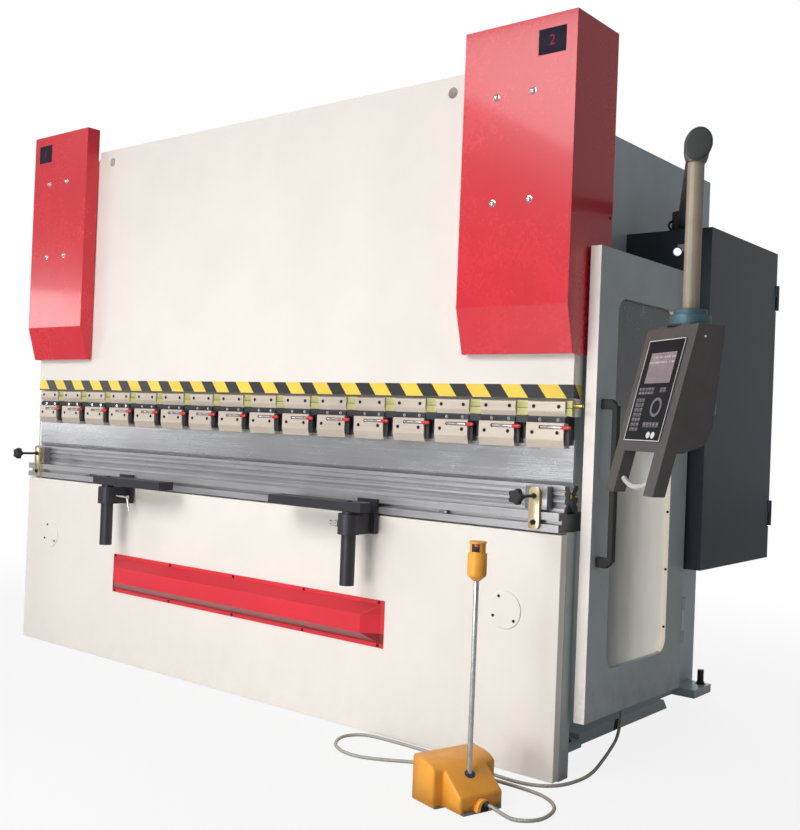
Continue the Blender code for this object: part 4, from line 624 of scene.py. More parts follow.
@dataclass(frozen=True)
class RibbedHose:
    """Grey sheathed hose with ribs round it, counted along its length."""

    name: str
    colour: Colour
    pitch: float = 0.0042

    def make(self) -> bpy.types.Material:
        """Build the material.

        Returns:
            The material.
        """
        graph = Graph(self.name)
        place = graph.place()
        along = graph.node("ShaderNodeAttribute", {"attribute_name": "along"}, {}, "Fac")
        rib = (along * (2 * math.pi / self.pitch)).sine() * 0.5 + 0.5
        dust = graph.noise(place, 18, 4, 0.6)
        # Painted shade: the colour darkens in the grooves between the ribs.
        colour = graph.mix(rib.ramp(0.1, 0.8), tuple(part * 0.45 for part in self.colour), self.colour)
        colour = graph.mix(dust.ramp(0.45, 0.8) * 0.4, colour, (0.42, 0.40, 0.37))
        return graph.surface(Base_Color=colour, Roughness=0.32 + dust * 0.2, Metallic=0.35,
                             Normal=graph.bump(rib, 0.0006))


@dataclass(frozen=True)
class Glow:
    """A small lit lens."""

    name: str
    colour: Colour
    power: float

    def make(self) -> bpy.types.Material:
        """Build the material.

        Returns:
            The material.
        """
        graph = Graph(self.name)
        cells = graph.cells(graph.place(), 600)
        colour = graph.mix(cells.ramp(0.0, 0.6), self.colour, (0.55, 0.62, 0.95))
        return graph.surface(Base_Color=(0.8, 0.85, 0.95), Roughness=0.15, Emission_Color=colour,
                             Emission_Strength=self.power)


@dataclass(frozen=True)
class PrintedPanel:
    """Printed membrane or screen, with pale rows above a given height."""

    name: str
    colour: Colour
    glare: Colour = (0.0, 0.0, 0.0)
    rows_above: float = 9.0
    rough: float = 0.36

    def make(self) -> bpy.types.Material:
        """Build the material.

        Returns:
            The material.
        """
        graph = Graph(self.name)
        place = graph.place()
        _, _, up = graph.split(place)
        haze = graph.noise(place, 16, 4, 0.6)
        pale = tuple(part * 1.3 + 0.002 for part in self.colour)
        colour = graph.mix(haze.ramp(0.3, 0.75), self.colour, pale)
        if sum(self.glare):
            rows = ((up * 420.0).sine() * 0.5 + 0.5).ramp(0.55, 0.85) * (up > self.rows_above)
            words = graph.noise(graph.stretch(place, (1.0, 1.0, 0.2)), 160, 2).ramp(0.45, 0.55)
            colour = graph.mix(rows * words * 0.55, colour, self.glare)
        return graph.surface(Base_Color=colour, Roughness=self.rough + haze * 0.1, Specular_IOR_Level=0.06)


class Look(Enum):
    """Every finish on the machine."""

    WHITE = Paint("warm_white_paint", tint(238, 232, 224), 0.42, peel=0.00005, cloud=0.012, grime=0.05)
    RED = Paint("gloss_red_paint", tint(224, 40, 56), 0.27, coat=0.25, peel=0.00003, cloud=0.035)
    # Its bands darken the panel's two slopes: painted shade.
    PANEL_RED = Paint("panel_red_paint", tint(224, 40, 56), 0.32, coat=0.15, peel=0.00003, cloud=0.035,
                      grime=0.0, bands=((0.3487, 0.3873, 0.34), (0.4577, 0.4963, 0.86)))
    GREY = Paint("grey_paint", tint(184, 190, 190), 0.40, cloud=0.04)
    # Side frames: their white paint darkened to a bluish grey, as painted shade.
    FRAME = Paint("frame_paint_painted_shade", tint(206, 218, 224), 0.40, cloud=0.05, grime=0.1)
    # Door: white paint, its sides shaded bluish grey, its edge lit white and its cut-out's walls lit cream:
    # painted shade and light.
    DOOR = PaintedShadeDoorPaint("door_paint_painted_shade", tint(194, 204, 206), 0.36, edge=tint(252, 246, 238),
                        walls=tint(236, 226, 206))
    CABINET = Paint("blue_black_paint", tint(60, 70, 78), 0.34, cloud=0.08, grime=0.1)
    BLACK = Paint("black_paint", tint(46, 47, 50), 0.42, grime=0.1)
    # Its end faces, past X 1.5912, get painted shade.
    RAIL = Steel("ground_rail_steel", tint(188, 187, 189), Grain.ALONG_X, 0.36, 0.75, 0.00002, stain=0.30,
                 streak=0.80, end=1.5912)
    BRIGHT = Steel("bright_punch_steel", tint(200, 200, 203), Grain.ALONG_X, 0.25, 0.85, 0.000004, stain=0.03,
                   streak=0.93)
    SHELL = Steel("satin_elbow_metal", tint(140, 138, 134), Grain.NONE, 0.30, 0.85, 0.00001, 0.05)
    CLAMP = Steel("bronze_clamp_steel", tint(216, 203, 188), Grain.ALONG_X, 0.42, 0.50, 0.00002, stain=0.12,
                  streak=0.86)
    PLAIN = Steel("plain_steel", tint(150, 150, 152), Grain.NONE, 0.34, 0.9)
    CHROME = Steel("polished_chrome", tint(226, 226, 228), Grain.NONE, 0.08, 1.0, 0.00001, 0.04)
    OXIDE = Steel("black_oxide", tint(58, 61, 68), Grain.NONE, 0.42, 0.45, 0.00003, 0.15)
    SCREW = Steel("black_screw", tint(30, 30, 32), Grain.NONE, 0.36, 0.5, 0.00002, 0.1)
    BRASS = Steel("brass", tint(214, 178, 96), Grain.NONE, 0.2, 0.95, 0.00002, 0.1)
    CHAMPAGNE = Steel("champagne_anodised", tint(170, 158, 140), Grain.ALONG_Z, 0.50, 0.30, 0.00001,
                      stain=0.04)
    ZINC = Zinc("yellow_zinc", tint(206, 200, 96))
    ZINC_PALE = Zinc("pale_zinc", tint(214, 202, 156))
    TEAL = Paint("teal_paint", tint(76, 98, 110), 0.30, grime=0.0)
    HOUSING = Moulded("textured_dark_grey", tint(82, 79, 78), 0.55, 0.00008, 0.08)
    CAP = Moulded("elbow_cap_grey", tint(66, 68, 67), 0.52, 0.00004, 0.05)
    GRIP = Moulded("light_grey_grip", tint(206, 206, 204), 0.35, 0.00003, 0.1)
    ORANGE = Moulded("orange_yellow_plastic", tint(252, 172, 58), 0.40, 0.00004, 0.10, coat=0.04)
    PLASTIC = Moulded("black_plastic", tint(34, 34, 36), 0.40, 0.00005, 0.2)
    RED_CAP = Moulded("red_cap", tint(226, 44, 60), 0.30, 0.00002, 0.1, coat=0.4)
    BLUE_RUBBER = Moulded("blue_black_rubber", tint(52, 50, 92), 0.5, 0.00003, 0.2)
    HOSE = RibbedHose("ribbed_grey_hose", tint(202, 198, 188))
    TAPE = HazardTape("hazard_bands", tint(252, 216, 84), tint(46, 46, 49))
    WINDOW = ClearSheet("frosted_sheet", tint(122, 126, 120), tint(196, 193, 185), tint(128, 130, 130))
    LAMP = Glow("lit_lens", (0.80, 0.88, 1.0), 1.6)
    PANEL = PrintedPanel("membrane", tint(28, 30, 33))
    DISPLAY = PrintedPanel("display", tint(138, 124, 130), tint(224, 216, 216), 1.385, 0.30)
    KEYS = PrintedPanel("membrane_keys", tint(98, 95, 98), tint(160, 158, 160), 0.0, 0.45)
    DIAL = PrintedPanel("dial_line", tint(106, 106, 114))
    FIGURE = PrintedPanel("printed_figure", tint(150, 44, 62))
    LINE = Moulded("pale_line", tint(226, 226, 224), 0.3, 0.00001, 0.0)
    PLATE = PrintedPanel("dark_plate", tint(40, 36, 50))
    # A dark strip under the hazard bands: painted shade.
    LINING = Moulded("painted_shade_line", tint(84, 80, 74), 0.6, 0.00002, 0.0)
    # Dark sheets set in slots, holes and notches where there is only shade: painted shade.
    RECESS = Moulded("painted_recess_shade", tint(24, 22, 24), 0.6, 0.00002, 0.0)

    def material(self) -> bpy.types.Material:
        """The finish's material, made once."""
        made = bpy.data.materials.get(self.value.name)
        return made if made is not None else self.value.make()


def dress(node: str, look: Look) -> bpy.types.Object:
    """Give a CAD node its finish.

    Args:
        node: The node's name.
        look: Its finish.

    Returns:
        The node's object.
    """
    piece = frame["nodes"][node]
    if not piece.material_slots:
        piece.data.materials.append(look.material())
    for place in piece.material_slots:
        place.material = look.material()
    return piece


def round_edges(node: str, look: Look, width: float = 0.0015) -> bpy.types.Object:
    """Dress a CAD node and soften its edges with modifiers.

    Args:
        node: The node's name.
        look: Its finish.
        width: Width of the rounding.

    Returns:
        The node's object.
    """
    piece = dress(node, look)
    weld = piece.modifiers.new("weld", "WELD")
    weld.merge_threshold = 0.00001
    flat = piece.modifiers.new("flat", "DECIMATE")
    flat.decimate_type = "DISSOLVE"
    flat.angle_limit = math.radians(0.5)
    soft = piece.modifiers.new("soft", "BEVEL")
    soft.width = width
    soft.segments = 2
    soft.limit_method = "ANGLE"
    soft.angle_limit = math.radians(40)
    return piece


def turn_to(start: Point, end: Point) -> Matrix:
    """A frame at the middle of two points with its Z along them.

    Args:
        start: The first point.
        end: The other point.

    Returns:
        The frame.
    """
    way = Vector(end) - Vector(start)
    middle = (Vector(start) + Vector(end)) / 2
    return Matrix.Translation(middle) @ way.to_track_quat("Z", "Y").to_matrix().to_4x4()


class Form:
    """A mesh under work, shaped by Blender's mesh operators."""

    def __init__(self) -> None:
        """Start with nothing."""
        self.mesh = bmesh.new()

    def box(self, low: Point, high: Point, place: Matrix = Matrix.Identity(4), bevel: float = 0.0,
            segments: int = 2) -> "Form":
        """Add a block, its edges rounded.

        Args:
            low: Lowest corner.
            high: Highest corner.
            place: Frame of the corners.
            bevel: Width of the rounding.
            segments: Steps of the rounding.

        Returns:
            This form.
        """
        low, high = Vector(low), Vector(high)
        fit = Matrix.Translation((low + high) / 2) @ Matrix.Diagonal((*(high - low), 1.0))
        made = bmesh.ops.create_cube(self.mesh, size=1.0, matrix=fit)["verts"]
        if bevel:
            made = self.soften({edge for vert in made for edge in vert.link_edges}, bevel, segments)
        bmesh.ops.transform(self.mesh, matrix=place, verts=made)
        return self

    def soften(self, edges: Iterable[bmesh.types.BMEdge], width: float, segments: int = 2) -> list:
        """Round edges of one closed shape.

        Args:
            edges: The edges.
            width: Width of the rounding.
            segments: Its steps.

        Returns:
            All vertices of that shape.
        """
        edges = list(edges)
        seen = {vert for edge in edges for vert in edge.verts}
        grow = list(seen)
        while grow:
            vert = grow.pop()
            for edge in vert.link_edges:
                other = edge.other_vert(vert)
                if other not in seen:
                    seen.add(other)
                    grow.append(other)
        before = set(self.mesh.verts) - seen
        bmesh.ops.bevel(self.mesh, geom=edges, offset=width, offset_type="OFFSET", segments=segments,
                        profile=0.5, affect="EDGES", clamp_overlap=True, material=-1)
        return [vert for vert in self.mesh.verts if vert not in before]

    def rod(self, start: Point, end: Point, radius: float, tip: Optional[float] = None, sides: int = 24,
            bevel: float = 0.0, place: Matrix = Matrix.Identity(4)) -> "Form":
        """Add a round bar or cone between two points.

        Args:
            start: Middle of its first end.
            end: Middle of its other end.
            radius: Radius at the first end.
            tip: Radius at the other end, the same when left out.
            sides: Number of flats round it.
            bevel: Rounding of both rims.
            place: Frame of the points.

        Returns:
            This form.
        """
        length = (Vector(end) - Vector(start)).length
        made = bmesh.ops.create_cone(self.mesh, cap_ends=True, segments=sides, radius1=radius,
                                     radius2=radius if tip is None else tip, depth=length)["verts"]
        if bevel:
            rims = {edge for vert in made for edge in vert.link_edges
                    if abs(edge.verts[0].co.z - edge.verts[1].co.z) < 1e-7}
            made = self.soften(rims, bevel)
        bmesh.ops.transform(self.mesh, matrix=place @ turn_to(start, end), verts=made)
        return self

    def slab(self, outline: Sequence[Sequence[float]], axis: str, low: float, high: float,
             bevel: float = 0.0, place: Matrix = Matrix.Identity(4), angle: float = 20.0) -> "Form":
        """Add a flat outline drawn out along an axis.

        Args:
            outline: Corners; (y, z) for X, (x, z) for Y and (x, y) for Z.
            axis: X, Y or Z.
            low: Where it starts.
            high: Where it ends.
            bevel: Rounding of its sharp edges.
            place: Frame of the shape.
            angle: Edges flatter than this stay as they are.

        Returns:
            This form.
        """
        spots = {"X": lambda a, b: (low, a, b), "Y": lambda a, b: (a, low, b), "Z": lambda a, b: (a, b, low)}
        way = {"X": RIGHT, "Y": (0, 1, 0), "Z": UP}[axis]
        verts = [self.mesh.verts.new(spots[axis](*corner)) for corner in outline]
        face = self.mesh.faces.new(verts)
        drawn = bmesh.ops.extrude_face_region(self.mesh, geom=[face])["geom"]
        moved = [part for part in drawn if isinstance(part, bmesh.types.BMVert)]
        bmesh.ops.translate(self.mesh, vec=Vector(way) * (high - low), verts=moved)
        made = verts + moved
        faces = {face for vert in made for face in vert.link_faces}
        bmesh.ops.recalc_face_normals(self.mesh, faces=list(faces))
        if bevel:
            limit = math.radians(angle)
            sharp = {edge for vert in made for edge in vert.link_edges if edge.calc_face_angle(0.0) > limit}
            made = self.soften(sharp, bevel)
        bmesh.ops.transform(self.mesh, matrix=place, verts=made)
        return self

    def lathe(self, profile: Sequence[Sequence[float]], start: Point, way: Point, sides: int = 32,
              place: Matrix = Matrix.Identity(4)) -> "Form":
        """Spin a profile round an axis.

        Args:
            profile: (radius, height) pairs, from axis to axis for a closed shape.
            start: Foot of the axis.
            way: Direction of the axis.
            sides: Steps of the spin.
            place: Frame of the axis.

        Returns:
            This form.
        """
        verts = [self.mesh.verts.new((radius, 0, height)) for radius, height in profile]
        edges = [self.mesh.edges.new(pair) for pair in zip(verts, verts[1:])]
        old = set(self.mesh.verts) - set(verts)
        bmesh.ops.spin(self.mesh, geom=verts + edges, cent=(0, 0, 0), axis=UP, dvec=(0, 0, 0),
                       angle=2 * math.pi, steps=sides, use_merge=True, use_duplicate=False)
        made = [vert for vert in self.mesh.verts if vert not in old]
        bmesh.ops.remove_doubles(self.mesh, verts=made, dist=1e-6)
        made = [vert for vert in self.mesh.verts if vert not in old]
        faces = list({face for vert in made for face in vert.link_faces})
        bmesh.ops.recalc_face_normals(self.mesh, faces=faces)
        turn = Vector(way).to_track_quat("Z", "Y").to_matrix().to_4x4()
        bmesh.ops.transform(self.mesh, matrix=place @ Matrix.Translation(start) @ turn, verts=made)
        return self

    def cap_screw(self, at: Point, way: Point, radius: float, height: float,
                  place: Matrix = Matrix.Identity(4)) -> "Form":
        """Add a round screw head with a recess in its top.

        Args:
            at: Middle of its seat.
            way: Where it points.
            radius: Radius of the head.
            height: Height of the head.
            place: Frame of the seat.

        Returns:
            This form.
        """
        deep = 0.45 * height
        return self.lathe([(0, 0), (radius, 0), (radius, 0.8 * height), (0.86 * radius, height),
                           (0.52 * radius, height), (0.48 * radius, height - deep), (0, height - deep)],
                          at, way, 12, place)

    def dome_screw(self, at: Point, way: Point, radius: float, height: float,
                   place: Matrix = Matrix.Identity(4)) -> "Form":
        """Add a screw with a domed head on a thin washer."""
        shares = ((0, 0), (1.25, 0), (1.25, 0.12), (1, 0.15), (0.98, 0.45), (0.8, 0.78), (0.45, 0.96), (0, 1))
        return self.lathe([(out * radius, up * height) for out, up in shares], at, way, 20, place)

    def hex_bolt(self, at: Point, way: Point, radius: float, height: float,
                 place: Matrix = Matrix.Identity(4)) -> "Form":
        """Add a six-sided bolt head on a round washer.

        Args:
            at: Middle of its seat.
            way: Where it points.
            radius: Radius of the head.
            height: Height of the head.
            place: Frame of the seat.

        Returns:
            This form.
        """
        way = Vector(way).normalized()
        foot = Vector(at)
        seat = foot + way * 0.25 * height
        top = foot + way * 1.25 * height
        self.rod(foot, seat, 1.35 * radius, None, 20, 0.0, place)
        return self.rod(seat, top, radius, None, 6, 0.08 * radius, place)

    def tube(self, line: Sequence[Vector], radius: Union[float, Sequence[float]], sides: int = 12,
             place: Matrix = Matrix.Identity(4)) -> "Form":
        """Add a round tube along a line of points.

        Args:
            line: The points.
            radius: Its radius, or one for each point.
            sides: Flats round it.
            place: Frame of the points.

        Returns:
            This form.
        """
        radii = [radius] * len(line) if isinstance(radius, (int, float)) else list(radius)
        frames = []
        up = Vector(UP)
        first = (line[1] - line[0]).normalized()
        side = first.cross(up if abs(first.dot(up)) < 0.9 else Vector(RIGHT)).normalized()
        for index, point in enumerate(line):
            ahead = line[min(index + 1, len(line) - 1)] - line[max(index - 1, 0)]
            ahead.normalize()
            side = (side - ahead * side.dot(ahead)).normalized()
            turn = Matrix((side, ahead.cross(side), ahead)).transposed().to_4x4()
            size = Matrix.Diagonal((radii[index], radii[index], 1, 1))
            frames.append(place @ Matrix.Translation(point) @ turn @ size)
        return self.loft(frames, sides)

    def loft(self, frames: Sequence[Matrix], sides: int = 32) -> "Form":
        """Add a closed shape through a row of rings.

        Args:
            frames: Where each ring lies; a ring is a circle of radius 1 before its frame is applied.
            sides: Points of each ring.

        Returns:
            This form.
        """
        rings = [bmesh.ops.create_circle(self.mesh, cap_ends=False, segments=sides, radius=1.0,
                                         matrix=frame)["verts"] for frame in frames]
        faces = []
        for before, after in zip(rings, rings[1:]):
            edges = [edge for ring in (before, after) for edge in {e for v in ring for e in v.link_edges}
                     if all(vert in ring for vert in edge.verts)]
            faces += bmesh.ops.bridge_loops(self.mesh, edges=edges)["faces"]
        for ring in (rings[0], rings[-1]):
            faces.append(self.mesh.faces.new(ring))
        bmesh.ops.recalc_face_normals(self.mesh, faces=faces)
        return self

    def piece(self, name: str, look: Look, body: str, slot: str = "", smooth: float = 35.0,
              stands_for: Sequence[str] = ()) -> bpy.types.Object:
        """Finish the form as a piece of the machine.

        Args:
            name: The piece's name.
            look: Its finish.
            body: The CAD body that it rides on.
            slot: The record's material slot; not used.
            smooth: Edges sharper than this stay sharp.
            stands_for: CAD nodes that it replaces.

        Returns:
            The piece.
        """
        data = bpy.data.meshes.new(name)
        self.mesh.to_mesh(data)
        self.mesh.free()
        data.polygons.foreach_set("use_smooth", [True] * len(data.polygons))
        data.set_sharp_from_angle(angle=math.radians(smooth))
        piece = bpy.data.objects.new(name, data)
        bpy.context.scene.collection.objects.link(piece)
        data.materials.append(look.material())
        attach(piece, body)
        if stands_for:
            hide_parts(*stands_for)
        return piece


def smooth_line(route: Sequence[Sequence[float]], spacing: float) -> list[Vector]:
    """Points at even steps along a smooth curve through a route.

    Args:
        route: The places that the curve passes.
        spacing: Distance between the points.

    Returns:
        The points.
    """
    places = [Vector(place) for place in route]
    ends = [2 * places[0] - places[1]] + places + [2 * places[-1] - places[-2]]
    fine = []
    for first, start, stop, last in zip(ends, ends[1:], ends[2:], ends[3:]):
        for step in range(20):
            share = step / 20
            fine.append(0.5 * (2 * start + (stop - first) * share
                               + (2 * first - 5 * start + 4 * stop - last) * share ** 2
                               + (3 * start - first - 3 * stop + last) * share ** 3))
    fine.append(places[-1])
    lengths = [0.0]
    for start, stop in zip(fine, fine[1:]):
        lengths.append(lengths[-1] + (stop - start).length)
    count = max(2, round(lengths[-1] / spacing))
    line = []
    index = 0
    for step in range(count + 1):
        target = lengths[-1] * step / count
        while index < len(fine) - 2 and lengths[index + 1] < target:
            index += 1
        share = (target - lengths[index]) / (lengths[index + 1] - lengths[index])
        line.append(fine[index].lerp(fine[index + 1], share))
    return line


@dataclass
class Studio:
    """Camera, soft lights, pale floor and white surroundings."""

    eye: Point = (3.4108, -3.1954, 1.1913)
    right: Point = (0.77706162, 0.62822168, 0.03889406)
    down: Point = (0.02552744, 0.03028731, -0.99921521)
    ahead: Point = (-0.62890666, 0.77744466, 0.00749821)
    focal_px: float = 1063.16
    picture: tuple[int, int] = (800, 830)
    sky: Colour = (0.94, 0.97, 1.0)
    level: float = 0.15
    gloss: float = 0.27
    floor_half: float = 14.0
    floor_fade: tuple[float, float, float, float] = (2.2, 5.0, 0.86, 1.0)

    def camera(self) -> None:
        """Place the camera where the photograph was taken."""
        data = bpy.data.cameras.new("camera")
        data.sensor_width = 36.0
        data.lens = self.focal_px * data.sensor_width / max(self.picture)
        data.clip_end = 60
        turn = Matrix((Vector(self.right), -Vector(self.down), -Vector(self.ahead))).transposed()
        camera = bpy.data.objects.new("camera", data)
        camera.matrix_world = Matrix.Translation(self.eye) @ turn.to_4x4()
        bpy.context.scene.collection.objects.link(camera)
        bpy.context.scene.camera = camera

    def lamp(self, name: str, at: Point, aim: Point, size: float, watts: float) -> None:
        """Add one soft lamp.

        Args:
            name: Its name.
            at: Where it stands.
            aim: Where it points.
            size: Side of its square.
            watts: Its power.
        """
        data = bpy.data.lights.new(name, "AREA")
        data.shape = "SQUARE"
        data.size = size
        data.energy = watts
        lamp = bpy.data.objects.new(name, data)
        way = Vector(aim) - Vector(at)
        lamp.matrix_world = Matrix.Translation(at) @ way.to_track_quat("-Z", "Y").to_matrix().to_4x4()
        bpy.context.scene.collection.objects.link(lamp)

    def lights(self) -> None:
        """Soft box over the floor before the machine, weak fills around and one lamp behind."""
        self.lamp("key", (0.1, -4.6, 3.8), (0.1, -4.5, 0.0), 3.4, 240)
        self.lamp("low", (0.6, -4.1, 0.5), (-0.2, 0.0, 0.2), 1.4, 54)
        self.lamp("left", (-6.2, -5.6, 5.4), (0.0, 0.0, 1.2), 3.0, 55)
        self.lamp("front", (1.6, -7.4, 3.4), (0.0, 0.0, 1.1), 2.6, 55)
        self.lamp("side", (6.5, 1.5, 3.4), (1.5, 0.6, 1.2), 3.0, 10)
        self.lamp("rear", (-2.5, 6.5, 4.4), (0.0, 0.5, 1.2), 3.5, 300)
        self.lamp("card", (-8.6, -4.9, 2.0), (-1.3, -0.1, 1.6), 1.4, 48)

    def world(self) -> None:
        """White for what the camera sees, some of it for gloss, a plain level of light for the rest."""
        world = bpy.data.worlds.new("studio")
        bpy.context.scene.world = world
        graph = Graph("studio", world)
        camera = graph.node("ShaderNodeLightPath", output="Is Camera Ray")
        rays = camera.end.node.outputs
        seen = camera.maths("MAXIMUM", camera, Sock(graph, rays["Is Transmission Ray"]))
        glossy = Sock(graph, rays["Is Glossy Ray"]) * self.gloss
        dim = graph.node("ShaderNodeBackground", {}, {0: self.sky, 1: self.level})
        white = graph.node("ShaderNodeBackground", {}, {0: (1.0, 1.0, 1.0), 1: 1.0})
        share = seen.maths("MAXIMUM", seen, glossy)
        mix = graph.node("ShaderNodeMixShader", {}, {0: share, 1: dim, 2: white})
        graph.close(mix, "ShaderNodeOutputWorld")

    def floor(self) -> None:
        """Pale floor that keeps the machine's shadow."""
        form = bmesh.new()
        bmesh.ops.create_grid(form, x_segments=1, y_segments=1, size=self.floor_half)
        data = bpy.data.meshes.new("floor")
        form.to_mesh(data)
        form.free()
        floor = bpy.data.objects.new("floor", data)
        bpy.context.scene.collection.objects.link(floor)
        graph = Graph("pale_floor")
        speck = graph.noise(graph.place(), 3.0, 3)
        far = graph.node("ShaderNodeVectorMath", {"operation": "LENGTH"}, {0: graph.place()}, "Value")
        colour = graph.mix(speck, (0.56, 0.56, 0.56), (0.59, 0.59, 0.59))
        lit = graph.node("ShaderNodeBsdfPrincipled", {}, {"Base Color": colour, "Roughness": 0.8})
        glow = graph.node("ShaderNodeEmission", {}, {0: (1.0, 1.0, 1.0), 1: 1.0})
        seen = graph.node("ShaderNodeLightPath", {}, {}, "Is Camera Ray")
        share = seen * far.ramp(*self.floor_fade)
        graph.close(graph.node("ShaderNodeMixShader", {}, {0: share, 1: lit, 2: glow}))
        data.materials.append(graph.material)

    def build(self) -> None:
        """Make the camera, the lights and the surroundings."""
        self.camera()
        self.lights()
        self.world()
        self.floor()
        bpy.context.scene.view_settings.view_transform = "Standard"


@dataclass
class PedalHose:
    """The hose from the pedal along the floor into the machine's side."""

    diameter: float = 0.012
    spacing: float = 0.014
    relief_length: float = 0.012
    relief_radii: tuple[float, float] = (0.0098, 0.0068)
    sides: int = 12
    nut: tuple[float, float] = (0.010, 0.0129)
    sleeve: tuple = ((0, 0.010), (0.0105, 0.010), (0.0112, 0.0105), (0.0112, 0.0235), (0.0095, 0.0274),
                     (0.0, 0.0274))
    route: tuple = (
        (1.5903, -0.4457, 0.028), (1.6164, -0.4531, 0.0275), (1.6457, -0.4545, 0.019),
        (1.686, -0.446, 0.0075),
        (1.729, -0.416, 0.0065), (1.748, -0.358, 0.0065), (1.725, -0.268, 0.0065), (1.650, -0.205, 0.0065),
        (1.540, -0.187, 0.0065), (1.400, -0.190, 0.0065), (1.260, -0.208, 0.0065), (1.139, -0.236, 0.0065),
        (1.055, -0.285, 0.0065), (0.965, -0.325, 0.0065), (0.878, -0.321, 0.0065), (0.803, -0.273, 0.0065),
        (0.765, -0.190, 0.0065), (0.795, -0.125, 0.0065), (0.870, -0.103, 0.0065), (1.075, -0.102, 0.0065),
        (1.280, -0.122, 0.0065), (1.461, -0.146, 0.0065), (1.560, -0.135, 0.0065), (1.625, -0.080, 0.0065),
        (1.650, 0.020, 0.0065), (1.642, 0.130, 0.0065), (1.603, 0.275, 0.0065), (1.555, 0.430, 0.0065),
        (1.515, 0.550, 0.0100), (1.489, 0.625, 0.0400), (1.470, 0.668, 0.0850), (1.440, 0.690, 0.1150),
        (1.405, 0.695, 0.1220), (1.3785, 0.695, 0.1220),
    )

    def tube(self, line: Sequence[Vector]) -> bpy.types.Object:
        """The hose as a tube whose points know their distance along it.

        Args:
            line: The hose's points.

        Returns:
            The hose.
        """
        form = Form().tube(line, self.diameter / 2, self.sides)
        hose = form.piece("hose", Look.HOSE, "machine", "hose_grey", 60.0, ["pedal_hose"])
        along = hose.data.attributes.new("along", "FLOAT", "POINT")
        step = (line[1] - line[0]).length
        for index in range(len(hose.data.vertices)):
            along.data[index].value = (index // self.sides) * step
        return hose

    def relief(self, line: Sequence[Vector]) -> bpy.types.Object:
        """Tapered sleeve where the hose leaves the pedal.

        Args:
            line: The hose's points.

        Returns:
            The sleeve.
        """
        first, last = self.relief_radii
        share = self.relief_length / (line[1] - line[0]).length
        fine = [line[0].lerp(line[1], share * index / 3) for index in range(4)]
        radii = [first + (last - first) * index / 3 for index in range(4)]
        return Form().tube(fine, radii, 20).piece("hose_relief", Look.PLASTIC, "machine", "black_plastic")

    def build(self) -> list[bpy.types.Object]:
        """Returns:
            The new pieces.
        """
        line = smooth_line(self.route, self.spacing)
        length = sum((stop - start).length for start, stop in zip(line, line[1:]))
        hose = self.tube(line)
        relief = self.relief(line)
        end = line[-1]
        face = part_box("hose_gland")[0][0]
        seat = (face, end.y, end.z)
        nut_length, radius = self.nut
        form = Form().rod(seat, (face + nut_length, end.y, end.z), radius, sides=6, bevel=0.0006)
        form.lathe(self.sleeve, seat, RIGHT, 24)
        gland = form.piece("gland", Look.CHROME, "machine", "bright_chrome", 35.0, ["hose_gland"])
        return [hose, relief, gland]


@dataclass
class Ram:
    """The ram plate with its hazard bands and a dark strip of painted shade under them."""

    stripe: tuple[float, float] = (1.297, 1.344)
    film: float = 0.0004
    # line: heights of the strip of painted shade, from the bands' foot
    line: tuple[float, float] = (-0.0062, -0.0002)
    inset: float = 0.001

    def build(self) -> list[bpy.types.Object]:
        """Dress the plate and lay the bands on it.

        Returns:
            The new pieces.
        """
        low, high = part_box("ram_plate")
        round_edges("ram_plate", Look.WHITE, 0.002)
        foot, top = self.stripe
        front = low[1]
        bands = []
        # The second strip is painted shade under the bands.
        line = [foot + drop for drop in self.line]
        for name, look, start, stop in (("hazard_bands_front", Look.TAPE, foot, top),
                                        ("band_foot_line", Look.LINING, *line)):
            band = Form().box((low[0], front - self.film, start), (high[0], front - FILM_GAP, stop))
            bands.append(band.piece(name, look, "ram"))
        for label, side in SIDES:
            face = high[0] * side
            near, far = sorted((face + side * FILM_GAP, face + side * self.film))
            form = Form().box((near, low[1] + self.inset, foot), (far, high[1] - self.inset, top))
            bands.append(form.piece(f"hazard_bands_{label}", Look.TAPE, "ram"))
        return bands


